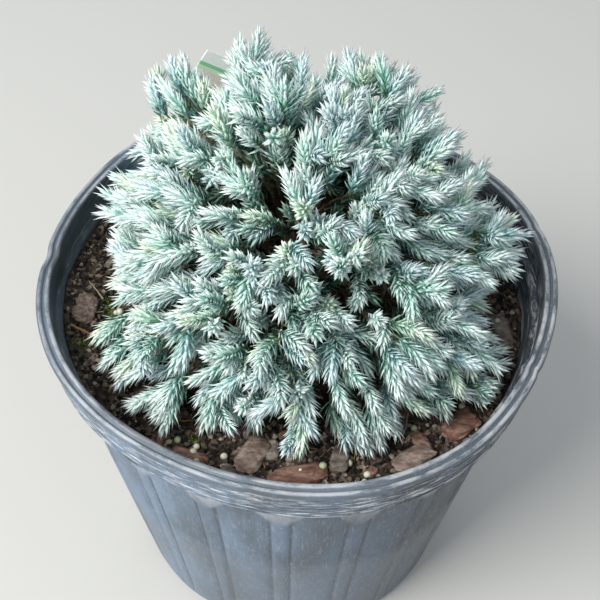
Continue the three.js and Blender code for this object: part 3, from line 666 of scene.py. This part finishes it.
def makeLabel():
    corner, rise, run = (np.array(label[key], dtype=float) for key in ("corner", "rise", "run"))
    facing = unit(np.cross(run, rise))
    down = np.array([0, 0, -1.0])
    fall = unit(down - facing * down.dot(facing))
    tall, wide, border = label["height"], label["width"], label["border"]
    # rows of the card from its foot up, with the ink that each carries: 0 bare, 1 green, 2 pale green, 3 rose
    rose, paleGreen, green = (tall * share for share in label["bands"])
    rows = [(0, 0), (border, 3), (rose, 2), (paleGreen, 1), (green, 0), (tall, None)]
    columns = [0, border, wide - border, wide]
    parts = []

    def slab(outline, slot):
        flat = np.array([corner + run * a + rise * b for a, b in outline])
        points = np.concatenate([flat, flat + facing * label["thickness"]])
        count = len(outline)
        sides = [(i, (i + 1) % count, (i + 1) % count + count, i + count) for i in range(count)]
        parts.append((points, np.array([(3, 2, 1, 0), (4, 5, 6, 7)] + sides), slot))

    for (low, band), (high, _) in zip(rows, rows[1:]):
        for left, right in zip(columns, columns[1:]):
            printed = band if left == border or (left == 0 and band in (1, 2)) else 0
            slab([(left, low), (right, low), (right, high), (left, high)], printed)
    along = np.array([fall.dot(run), fall.dot(rise)])
    half, pointHalf = label["legWidth"] / 2, label["pointHalf"]
    foot = np.array([label["legStart"], 0.0])
    end = foot + along * label["legLength"]
    point = foot + along * (label["legLength"] + label["legPoint"])
    slab([foot - (half / along[0], 0), foot + (half / along[0], 0), end + (half, 0), end - (half, 0)], 0)
    slab([end - (half, 0), end + (half, 0), point + (pointHalf, 0), point - (pointHalf, 0)], 0)
    # Calendered card of rigid vinyl: smooth, white and faintly glossy, with bands of flat printing ink
    card, tree, shader = newMaterial("rigidVinylCard", "#fdfdfb", 0.36, 1.53)
    grain = addNode(tree, "TexNoise", {}, {"Scale": 700.0, "Detail": 2.0})  # about a tenth of a millimetre
    addNode(tree, "Bump", {}, {"Strength": 0.04, "Height": grain.outputs["Fac"]}, to=shader.inputs["Normal"])
    inks = [newMaterial(name, tone, 0.4, 1.5)[0]
            for name, tone in (("inkGreen", "#8fd6a9"), ("inkPaleGreen", "#dcf3cd"), ("inkRose", "#f0dfda"))]
    piece = joinedPiece("labelCard", parts, [card] + inks)
    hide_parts("plant_label")


makeLabel()
print("label made")


# Crown: the rule of the solids, written again and carried on to finer twigs

crown = {
    "centre": np.array([2.0, 12.0, 238.0]), "boughReach": 42, "stemEnd": 62, "lowest": -9,
    "trunkFoot": np.array([-4.0, 8.0, 212.3]), "trunkTop": np.array([1.0, 12.0, 244.0]),
    "trunkRings": [(0, 11), (0.12, 8.4), (0.3, 7), (0.7, 6.2), (1, 5)],  # share of its length, and radius
    # boughs: where they leave the trunk, how steeply, how they bend and how thick they are
    "lowHeights": [217.5, 222, 226.5], "upperHeights": [230.5, 234.5], "topSpread": 2.5,
    "boughRise": 0.35, "topLean": 0.25, "boughBends": (0.35, 0.6), "boughRadii": [2.3, 2.2, 2, 1.85, 1.7],
    "gap": 0.3,
    # plumes of twigs in each mass: how far they reach and how they droop at their edges
    "plumes": 60, "plumeTurn": 0.4, "plumeSeed": 3, "plumeDroop": 0.09, "massDroop": 0.04, "lowDroop": 0.01,
    "tipScatter": 0.05, "leastVigour": 0.95, "twigEnd": 0.8,
    # room kept over the mix, inside the pot's wall and in front of the label
    "floor": 215.5, "potRoom": 1.5, "labelRoom": 2, "lobeWidth": 6,
    # azimuth and elevation of swells and hollows of the outline, and how far each stands out
    "lobes": [
        (286, -8, 2), (270, -8, 9), (241, -8, 10), (227, -8, 8), (217, -8, 7), (208, -7, 13), (307, -8, 8),
        (320, -8, 15), (327, -7, 6), (110, 56, 12), (78, 55, 10), (66, 54, 6), (53, 52, 2), (40, 46, 8),
        (11, 27, 9), (357, 17, 12), (3, 21, -3), (347, 12, 2), (182, 12, 11), (177, 22, 12), (170, 27, 9),
        (153, 41, 8), (140, 48, 7), (26, 38, -18), (348, 4, -15), (338, 0, -20), (350, -7, -6),
        (323, 20, -13), (301, -9, -28), (313, -8, -10), (276, -9, -20), (262, -9, -20), (250, -8, -14),
        (199, -2, -15), (191, 4, -15), (205, 12, -12), (184, -5, -13), (193, -10, -10), (102, 54, -14),
        (141, 55, -14), (343, -6, -9), (356, -4, -8),
    ],
    # name, azimuth, elevation and reach of each mass
    "masses": [
        ("front_left", 238, 7, 124), ("front", 275, 6, 127), ("front_right", 312, 7, 129),
        ("right", 350, 9, 121), ("back_right", 30, 10, 114), ("back", 72, 10, 110),
        ("back_left", 114, 10, 108), ("left_back", 156, 11, 113), ("left", 198, 10, 115),
        ("upper_left", 207, 46, 114), ("upper_front", 273, 45, 112), ("upper_right", 343, 47, 112),
        ("upper_back_right", 52, 46, 116), ("upper_back_left", 130, 46, 122),
        ("top_left", 165, 78, 121), ("top_right", 5, 77, 109),
    ],
}


def randomFrom(seed):  # the same repeatable stream as the solids
    state = seed
    while True:
        state = (state + 0x6D2B79F5) & 0xFFFFFFFF
        mixed = ((state ^ (state >> 15)) * (1 | state)) & 0xFFFFFFFF
        mixed = ((mixed + (((mixed ^ (mixed >> 7)) * (61 | mixed)) & 0xFFFFFFFF)) & 0xFFFFFFFF) ^ mixed
        yield (mixed ^ (mixed >> 14)) / 4294967296


def wayOf(azimuth, elevation):
    a, e = math.radians(azimuth), math.radians(elevation)
    return np.array([math.cos(e) * math.cos(a), math.cos(e) * math.sin(a), math.sin(e)])


def evenWays(count, startTurn):
    lowest = math.sin(math.radians(crown["lowest"]))
    index = np.arange(count)
    height = 1 - (index + 0.5) / count * (1 - lowest)
    level = np.sqrt(1 - height * height)
    turn = startTurn + index * goldenTurn
    return np.stack([level * np.cos(turn), level * np.sin(turn), height], -1)


massWays = np.array([wayOf(azimuth, elevation) for _, azimuth, elevation, _ in crown["masses"]])
massReach = np.array([reach for *_, reach in crown["masses"]], dtype=float)
domeShare = fullTurn * (1 - math.sin(math.radians(crown["lowest"])))
massSpread = math.sqrt(domeShare / len(massWays) / math.pi)
plumeSpread = math.sqrt(domeShare / crown["plumes"] / math.pi)
plumeWays = evenWays(crown["plumes"], crown["plumeTurn"])
plumeMass = np.argmax(plumeWays @ massWays.T, axis=1)
plumeStream = randomFrom(crown["plumeSeed"])
plumeVigour = np.array([next(plumeStream) for _ in plumeWays])
plumeVigour = crown["leastVigour"] + (1 - crown["leastVigour"]) * plumeVigour


def sectorsOf(ways):  # the mass and the plume that each way belongs to
    mass = np.argmax(ways @ massWays.T, axis=1)
    closeness = ways @ plumeWays.T
    closeness[plumeMass[None, :] != mass[:, None]] = -2
    return mass, np.argmax(closeness, axis=1)


def angleBetween(first, second):
    return np.arccos(np.clip(np.sum(first * second, axis=-1), -1, 1))


def tipDistance(ways, mass, plume, scatter):
    fromMass = angleBetween(ways, massWays[mass]) / massSpread
    fromPlume = angleBetween(ways, plumeWays[plume]) / plumeSpread
    droop = crown["massDroop"] * fromMass ** 2 + crown["plumeDroop"] * fromPlume ** 2
    droop = np.where(ways[:, 2] < 0, crown["lowDroop"], droop)  # the lowest shoots spread out over the mix
    swell = sum(
        out * np.exp(-(np.degrees(angleBetween(ways, wayOf(azimuth, elevation))) / crown["lobeWidth"]) ** 2)
        for azimuth, elevation, out in crown["lobes"]
    )
    reach = massReach[mass] * plumeVigour[plume] * (1 - droop) + swell
    return reach * (1 - crown["tipScatter"] * scatter)


def isClear(points):  # above the mix, inside the pot's wall and in front of the label
    turn = np.arctan2(points[:, 1], points[:, 0])
    wall = innerRadius(np.minimum(points[:, 2], pot["bandHeight"])) + warpAt(turn, pot["height"])
    away = np.hypot(points[:, 0], points[:, 1])
    inPot = (points[:, 2] > pot["height"] + crown["potRoom"]) | (away < wall - crown["potRoom"])
    facing = unit(np.cross(label["run"], label["rise"]))
    corner = np.array(label["corner"], dtype=float)
    facing = facing * np.sign((crown["centre"] - corner).dot(facing))
    return inPot & (points[:, 2] > crown["floor"]) & ((points - corner) @ facing > crown["labelRoom"])


def curveAt(start, bend, end, share):  # a quadratic curve and its direction
    share = np.asarray(share)[..., None]
    point = (1 - share) ** 2 * start + 2 * share * (1 - share) * bend + share ** 2 * end
    slope = 2 * (1 - share) * (bend - start) + 2 * share * (end - bend)
    return point, unit(slope)


def juniperBark():
    # Juniper bark: thin, fibrous strips that lift and flake, warm brown over grey
    material, tree, shader = newMaterial("juniperBark", "#6e4f3b", 0.87, 1.47)
    place = addNode(tree, "TexCoord", {}, {}).outputs["Object"]
    strips = addNode(tree, "TexNoise", {}, {"Vector": place, "Scale": perMetre(2.083), "Detail": 7.0,
                                            "Roughness": 0.7}).outputs["Fac"]
    addNode(tree, "ValToRGB", {}, {"Fac": strips}, [(0.3, "#2b231c"), (0.5, "#5c4a3b"), (0.7, "#8f8272")],
            to=shader.inputs["Base Color"])
    addNode(tree, "Bump", {}, {"Strength": 0.6, "Distance": 0.6 * mm, "Height": strips},
            to=shader.inputs["Normal"])
    return material


bark = {"ridges": 2.4, "stretch": 0.16, "trunkRows": 26, "trunkSides": 36, "trunkDepth": 0.16,
        "boughRows": 20, "boughSides": 14, "boughDepth": 0.2}


def barkRelief(rows, sides, seed, depth):  # flaky ridges that run along a limb
    grid = np.zeros((rows, sides))
    for row in range(rows):
        for side in range(sides):
            turn = side * fullTurn / sides
            spot = Vector((bark["ridges"] * math.cos(turn), bark["ridges"] * math.sin(turn),
                           row * bark["stretch"] + seed * 7.0))
            grid[row, side] = noise.noise(spot) + 0.5 * noise.noise(spot * 2.3)
    return 1 + depth * grid


def boughStart(index):  # where a bough leaves the trunk, and its way there
    elevation = crown["masses"][index][2]
    foot, top = crown["trunkFoot"], crown["trunkTop"]
    aside = unit(massWays[index] * (1, 1, 0))
    if elevation > 60:
        start = top + (0, 0, crown["gap"]) + aside * crown["topSpread"]
        return start, unit(aside * crown["topLean"] + (0, 0, 1))
    heights = crown["upperHeights"] if elevation > 30 else crown["lowHeights"]
    share = (heights[index % len(heights)] - foot[2]) / (top[2] - foot[2])
    return foot * (1 - share) + top * share, unit(aside + (0, 0, crown["boughRise"]))


def makeLimbs():
    rows, sides = bark["trunkRows"], bark["trunkSides"]
    shares = np.linspace(0, 1, rows)
    centres = crown["trunkFoot"] + (crown["trunkTop"] - crown["trunkFoot"]) * shares[:, None]
    radii = np.interp(shares, *np.transpose(crown["trunkRings"]))
    parts = [(*tube(centres, radii, sides, barkRelief(rows, sides, 1, bark["trunkDepth"])), 0)]
    rows, sides = bark["boughRows"], bark["boughSides"]
    t = np.linspace(0, 1, rows)[:, None]
    for index in range(len(massWays)):
        start, leaving = boughStart(index)
        way, reach = massWays[index], crown["boughReach"]
        first, second = crown["boughBends"]
        corners = [start, start + leaving * reach * first, crown["centre"] + way * reach * second,
                   crown["centre"] + way * reach]
        path = ((1 - t) ** 3 * corners[0] + 3 * t * (1 - t) ** 2 * corners[1]
                + 3 * t ** 2 * (1 - t) * corners[2] + t ** 3 * corners[3])
        thick = np.interp(t[:, 0], np.linspace(0, 1, 5), crown["boughRadii"])
        parts.append((*tube(path, thick, sides, barkRelief(rows, sides, index + 2, bark["boughDepth"])), 0))
    piece = joinedPiece("trunkAndBoughs", parts, [juniperBark()], smooth=True)
    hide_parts("trunk", *["bough_" + name for name, *_ in crown["masses"]])


# Branchlets share out the plumes, and shoots share out the branchlets: each shoot leaves its branchlet
# lower down, turns outwards and ends on the dome. Shorter ones fill in below, in the crown's own shade

growth = {
    "between": 100, "low": 28, "lowWay": -8.5, "startTurn": 2.7, "jitter": 0.03, "lean": 0.5, "sway": 0.12,
    "startShare": 0.5, "branchletEnd": 0.86,
    # count, start turn, share of the reach, length and lean of each layer of shoots
    "layers": [(660, 3.3, 1.0, 22, 0.14), (440, 1.1, 0.87, 22, 0.3), (360, 5.1, 0.7, 22, 0.4)],
    "layerScatter": [0.015, 0.04, 0.1], "fan": 0.65, "fanAngle": 0.11, "shootSway": 0.27,
    "branchletSway": 0.24, "lengthSpread": 0.18, "hollow": 0.66, "seed": 71,
    # how branchlets and shoots bend: shares of their span, and how far in a branchlet starts
    "branchletBend": 0.5, "branchletInset": 9, "shootBend": 0.55, "footShares": (0.1, 0.95, 9),
    "reachBack": 0.5,
    # room that the tips keep: past the reach, over the mix, inside the wall, and over the rim
    "overshoot": 1.01, "mixRoom": 3.5, "wallRoom": 4, "rimRoom": 3,
    # azimuth and elevation of shoots that stand out on the outline
    "leaders": [
        (138, 49), (141, 46), (150, 43), (153, 41), (125, 53), (113, 56), (69, 55), (357, 17), (175, 24),
        (179, 20), (212, -8), (221, -8), (228, -8), (238, -8), (270, -9), (285, -9), (290, -8), (306, -8),
        (318, -8), (323, -8),
    ],
    # azimuth, elevation and half-width of the gaps that let the eye in between the sprays
    "gaps": [
        (288, 60, 6.5), (257, 55, 6.5), (253, 47, 4.5), (288, 35, 7), (320, 38, 7), (330, 11, 6),
        (283, 1, 6), (260, 25, 6), (240, 68, 6.5), (222, 52, 5.5), (237, 17, 5.5), (6, 63, 5.5),
        (135, 52, 4.5), (130, 45, 6), (123, 35, 4), (137, 36, 6), (157, 55, 4.5), (60, 35, 6),
        (100, 30, 6), (170, 30, 4.5), (20, 25, 4.5), (343, -1, 4),
    ],
}


def inGap(ways):  # true for ways that a gap leaves empty
    inside = np.zeros(len(ways), dtype=bool)
    for azimuth, elevation, half in growth["gaps"]:
        inside |= ways @ wayOf(azimuth, elevation) > math.cos(math.radians(half))
    return inside


def lowWays():  # a ring of ways just over the mix
    return np.array([wayOf(index * 360 / growth["low"], growth["lowWay"]) for index in range(growth["low"])])


def growBranchlets(rng):
    ways = np.concatenate([plumeWays, evenWays(growth["between"], growth["startTurn"]), lowWays()])
    ways = unit(ways + rng.normal(size=ways.shape) * growth["jitter"])
    ways = ways[~inGap(ways)]
    mass, plume = sectorsOf(ways)
    distance = tipDistance(ways, mass, plume, 0.5) * growth["branchletEnd"]
    outward = ways * (1, 1, 0)
    axes = unit(ways + outward * growth["lean"] + rng.normal(size=ways.shape) * growth["sway"])
    tips = crown["centre"] + ways * distance[:, None]
    inner = (distance * growth["startShare"])[:, None]
    starts = crown["centre"] + unit(ways * 0.5 + plumeWays[plume] * 0.5) * inner
    starts -= outward * growth["branchletInset"]
    bends = tips - axes * np.linalg.norm(tips - starts, axis=1, keepdims=True) * growth["branchletBend"]
    return {"ways": ways, "mass": mass, "starts": starts, "bends": bends, "tips": tips,
            "sway": rng.normal(size=ways.shape) * growth["branchletSway"]}


def growShoots(branchlets, rng):
    layers = []
    feet = np.stack([curveAt(branchlets["starts"], branchlets["bends"], branchlets["tips"],
                             np.full(len(branchlets["ways"]), share))[0]
                     for share in np.linspace(*growth["footShares"])], axis=1)
    for kind, (count, startTurn, reach, length, lean) in enumerate(growth["layers"]):
        ways = evenWays(count, startTurn)
        if kind == 0:
            ways = np.concatenate([ways, lowWays()])
        ways = unit(ways + rng.normal(size=ways.shape) * growth["jitter"])
        if kind < 2:
            ways = ways[~inGap(ways)]
        if kind == 0:
            ways = np.concatenate([ways, [wayOf(*leader) for leader in growth["leaders"]]])
        mass, plume = sectorsOf(ways)
        closeness = ways @ branchlets["ways"].T
        closeness[branchlets["mass"][None, :] != mass[:, None]] = -2
        owner = np.argmax(closeness, axis=1)
        scatter = 1 + rng.uniform(-1, 1, len(ways)) * growth["layerScatter"][kind]
        distance = tipDistance(ways, mass, plume, rng.random(len(ways))) * reach * scatter
        tips = crown["centre"] + ways * distance[:, None]
        aside = ways - branchlets["ways"][owner]
        away = np.linalg.norm(aside, axis=1, keepdims=True)
        aside = unit(aside) * np.clip(away / growth["fanAngle"], 0, 1) * growth["fan"]
        sway = rng.normal(size=ways.shape) * growth["shootSway"] + branchlets["sway"][owner]
        axes = unit(ways + ways * (1, 1, 0) * lean + aside + sway)
        spans = length * (1 + rng.uniform(-1, 1, len(ways)) * growth["lengthSpread"])
        wanted = tips - axes * spans[:, None]
        nearest = np.argmin(np.linalg.norm(feet[owner] - wanted[:, None], axis=2), axis=1)
        starts = wanted * (1 - growth["reachBack"]) + feet[owner, nearest] * growth["reachBack"]
        bends = tips - axes * (np.linalg.norm(tips - starts, axis=1) * growth["shootBend"])[:, None]
        layers.append({"starts": starts, "bends": bends, "ends": tips, "roots": feet[owner, nearest],
                       "mass": mass, "kind": np.full(len(ways), kind)})
    shoots = {key: np.concatenate([layer[key] for layer in layers]) for key in layers[0]}
    return keepInside(shoots)


def keepInside(shoots):  # tips stay within the crown's reach, off the mix and off the pot
    fromCentre = shoots["ends"] - crown["centre"]
    away = np.linalg.norm(fromCentre, axis=1)
    ways = unit(fromCentre)
    mass, plume = sectorsOf(ways)
    limit = tipDistance(ways, mass, plume, 0) * growth["overshoot"]
    over = np.clip(away - limit, 0, None)
    shift = -ways * over[:, None]
    low = np.clip(crown["floor"] + growth["mixRoom"] - shoots["ends"][:, 2] - shift[:, 2], 0, None)
    shift[:, 2] += low
    turn = np.arctan2(shoots["ends"][:, 1], shoots["ends"][:, 0])
    moved = shoots["ends"] + shift
    radius = np.hypot(moved[:, 0], moved[:, 1])
    wall = innerRadius(np.minimum(moved[:, 2], pot["bandHeight"])) + warpAt(turn, pot["height"])
    wall = wall - growth["wallRoom"]
    tooWide = np.where(moved[:, 2] < pot["height"] + growth["rimRoom"], np.clip(radius - wall, 0, None), 0)
    shift[:, :2] -= moved[:, :2] / np.maximum(radius, 1)[:, None] * tooWide[:, None]
    for part, share in (("ends", 1), ("bends", 0.6), ("starts", 0.25)):
        shoots[part] = shoots[part] + shift * share
    fromCentre = shoots["ends"] - crown["centre"]
    inHollow = inGap(unit(fromCentre)) & (np.linalg.norm(fromCentre, axis=1) > limit * growth["hollow"])
    return {key: values[~inHollow] for key, values in shoots.items()}


needle = {
    "perWhorl": 3, "spacing": (1.17, 1.42, 2.1), "firstShare": 0.12, "crowding": 0.7,
    "length": 8.8, "shortest": 0.72, "swell": 0.32, "tipLength": 8.2, "tipFrom": 0.86,
    "lengthScatter": 0.14, "bendAt": 0.45,
    "width": 1.85, "thickness": 0.5, "stemRadius": 0.6,
    "footAngle": 44, "tipAngle": 28, "curl": 6, "turnScatter": 0.16, "angleScatter": 5.5,
    "paleFrom": 0.62, "deepTo": 0.28,
}

# A spray's colours, from the wax-white ends of its young needles to the green at its foot; its darker tones,
# on the needles' backs and towards the foot, are partly their own green and partly painted shade
toneParts = ("pale", "upper", "back", "deep")
sprayTones = {
    "silver": ("#e4f2ef", "#cde8e2", "#98c2b9", "#568272"),
    "blue": ("#dcecee", "#bddcdd", "#83b0b0", "#4d7573"),
    "fresh": ("#e6f3e3", "#c6e3d1", "#8fb8a5", "#547e62"),
    "sea": ("#d3ebe4", "#add5ca", "#70a293", "#416c5b"),
    # painted shade: the inner tone, darker copies of the needle tones for shoots in the crown's own shade
    "inner": ("#7a9a88", "#547869", "#3b594d", "#284136"),
}
toneShares = [0.44, 0.26, 0.11, 0.19, 0]  # the inner tone goes to the shoots in the crown's own shade


def needleMaterials():
    # Wax-bloomed needles: the bloom scatters light, so they look chalky and pale on top, greener behind;
    # their darker tones also carry painted shade
    return [
        newMaterial(f"{name}Needle{part.title()}", tone, roughness, 1.42,
                    Sheen_Weight=0.12, Sheen_Roughness=0.5)[0]
        for name, tones in sprayTones.items()
        for part, tone, roughness in zip(toneParts, tones, (0.6, 0.58, 0.5, 0.5))
    ]


def growNeedles(shoots, rng):
    spans = np.linalg.norm(shoots["ends"] - shoots["starts"], axis=1)
    spacing = np.array(needle["spacing"])[shoots["kind"]]
    counts = np.maximum((spans * (1 - needle["firstShare"]) / spacing).astype(int), 3)
    owner = np.repeat(np.arange(len(counts)), counts)
    order = np.arange(len(owner)) - np.repeat(np.cumsum(counts) - counts, counts)
    along = ((order + 0.5) / counts[owner]) ** needle["crowding"]  # closer together towards the tip
    share = needle["firstShare"] + (1 - needle["firstShare"]) * along
    centre, slope = curveAt(shoots["starts"][owner], shoots["bends"][owner], shoots["ends"][owner], share)
    whorl = needle["perWhorl"]
    owner, order, along, centre, slope = (
        np.repeat(values, whorl, axis=0) for values in (owner, order, along, centre, slope))
    total = len(owner)
    leaf = np.tile(np.arange(whorl), total // whorl)
    spin = rng.uniform(0, fullTurn, len(counts))[owner]
    turn = spin + order * math.pi / whorl + leaf * fullTurn / whorl
    turn = turn + rng.normal(size=total) * needle["turnScatter"]
    side = unit(np.cross(slope, np.array([0.33, 0.21, 0.92])))
    third = np.cross(slope, side)
    outward = side * np.cos(turn)[:, None] + third * np.sin(turn)[:, None]
    angle = needle["footAngle"] + (needle["tipAngle"] - needle["footAngle"]) * along ** 0.8
    angle = angle * np.where(order >= counts[owner] - 1, 0.5, 1)  # the last whorl closes over the bud
    angle = angle + rng.normal(size=total) * needle["angleScatter"]
    rising, leaving = np.radians(angle), np.radians(np.maximum(angle - needle["curl"], 2))
    first = slope * np.cos(rising)[:, None] + outward * np.sin(rising)[:, None]
    second = slope * np.cos(leaving)[:, None] + outward * np.sin(leaving)[:, None]
    bulge = np.sin(math.pi * np.clip(along * 0.9 + 0.12, 0, 1))  # they are longest in the middle of a shoot
    length = needle["length"] * (needle["shortest"] + needle["swell"] * bulge)
    length = np.where(along > needle["tipFrom"], needle["tipLength"], length)
    length = length * (1 + rng.uniform(-1, 1, total) * needle["lengthScatter"])
    foot = centre + outward * needle["stemRadius"] * 0.6
    middle = foot + first * (length * needle["bendAt"])[:, None]
    point = middle + second * (length * (1 - needle["bendAt"]))[:, None]
    keep = isClear(point) & isClear(middle)
    foot, middle, point, first, slope = (values[keep] for values in (foot, middle, point, first, slope))
    owner, along = owner[keep], along[keep]
    # the upper face looks to the shoot's tip
    face = unit(slope - first * np.sum(slope * first, axis=1, keepdims=True))
    across = np.cross(face, first) * needle["width"] / 2
    back = -face * needle["thickness"]
    corners = np.stack([foot - across * 0.9, foot + across * 0.9, foot + back,
                        middle - across, middle + across, middle + back, point], axis=1)
    pattern = np.array([(0, 1, 4), (0, 4, 3), (3, 4, 6),
                        (1, 2, 5), (1, 5, 4), (4, 5, 6), (2, 0, 3), (2, 3, 5), (5, 3, 6)])
    # faces of a needle, by where it grows on its shoot: the foot, the middle and the end; the backs and the
    # needles near the foot take darker tones, partly painted shade
    parts = np.array([(2, 2, 1, 3, 3, 2, 3, 3, 2), (1, 1, 0, 2, 2, 1, 2, 2, 1), (1, 1, 0, 1, 1, 0, 1, 1, 0)])
    level = (along > needle["deepTo"]).astype(int) + (along > needle["paleFrom"])
    tone = rng.choice(len(sprayTones), p=toneShares, size=len(counts))
    # the innermost layer of shoots all take the inner tone, painted shade
    tone = np.where(shoots["kind"] == 2, len(sprayTones) - 1, tone)[owner]
    slots = tone[:, None] * len(toneParts) + parts[level]
    return corners, pattern, slots, shoots["mass"][owner]


def makeNeedles(shoots, rng):
    groups = {
        "needlesFront": ("front_left", "front", "front_right"),
        "needlesSides": ("right", "back_right", "left"),
        "needlesBack": ("back", "back_left", "left_back"),
        "needlesUpperFront": ("upper_left", "upper_front", "upper_right"),
        "needlesUpperBack": ("upper_back_right", "upper_back_left"),
        "needlesTop": ("top_left", "top_right"),
    }
    names = [name for name, *_ in crown["masses"]]
    corners, pattern, slots, mass = growNeedles(shoots, rng)
    materials, total = needleMaterials(), 0
    for title, members in groups.items():
        chosen = np.isin(mass, [names.index(member) for member in members])
        points = corners[chosen]
        faces = (np.arange(len(points)) * points.shape[1])[:, None, None] + pattern[None]
        piece = meshPiece(title, points.reshape(-1, 3), faces.reshape(-1, 3), materials,
                          slots[chosen].ravel(), smooth=True)
        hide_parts(*["foliage_" + member for member in members])
        total += len(faces) * len(pattern)
        print(title, len(faces) * len(pattern), "triangles")
    print("needles", total, "triangles")


def makeTwigs(branchlets, shoots):
    # radius at the foot and the tip, rows and sides of each kind of twig; each starts inside the last kind
    twigs = {"stem": (1.7, 1.4, 6, 7), "plume": (1.35, 0.7, 7, 5), "branchlet": (0.95, 0.5, 7, 5),
             "shoot": (0.65, 0.35, 6, 4)}
    parts, centre, almost = [], crown["centre"], 0.97  # twigs end just short of their last needles

    def addTwig(kind, path, slot):
        foot, tip, rows, sides = twigs[kind]
        parts.append((*tube(path, np.linspace(foot, tip, rows), sides), slot))

    stem = np.linspace(crown["boughReach"] + crown["gap"], crown["stemEnd"] + 6, 6)[:, None]
    for way in massWays:
        addTwig("stem", centre + way * stem, 0)
    for index, way in enumerate(plumeWays):
        mass = plumeMass[index]
        start = centre + massWays[mass] * (crown["stemEnd"] - 3)
        reach = massReach[mass] * plumeVigour[index] * crown["twigEnd"]
        end = centre + way * reach * 0.85
        bend = centre + unit(massWays[mass] * 0.4 + way * 0.6) * (crown["stemEnd"] + 12)
        addTwig("plume", curveAt(start, bend, end, np.linspace(0, 1, 7))[0], 0)
    for start, bend, tip in zip(branchlets["starts"], branchlets["bends"], branchlets["tips"]):
        addTwig("branchlet", curveAt(start, bend, tip, np.linspace(0, almost, 7))[0], 0)
    for root, start, bend, end in zip(shoots["roots"], shoots["starts"], shoots["bends"], shoots["ends"]):
        addTwig("shoot", np.concatenate([[root], curveAt(start, bend, end, np.linspace(0, almost, 5))[0]]), 1)
    # Young juniper stems: smooth and green-brown before they grow bark
    young = newMaterial("youngStem", "#66704a", 0.7, 1.45)[0]
    piece = joinedPiece("twigs", parts, [juniperBark(), young], smooth=True)
    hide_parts(*["foliage_" + name for name, *_ in crown["masses"]])
    print("twigs", len(piece.data.polygons), "triangles")


growthStream = np.random.default_rng(growth["seed"])
makeLimbs()
branchlets = growBranchlets(growthStream)
shoots = growShoots(branchlets, growthStream)
makeTwigs(branchlets, shoots)
makeNeedles(shoots, growthStream)
print("crown made")
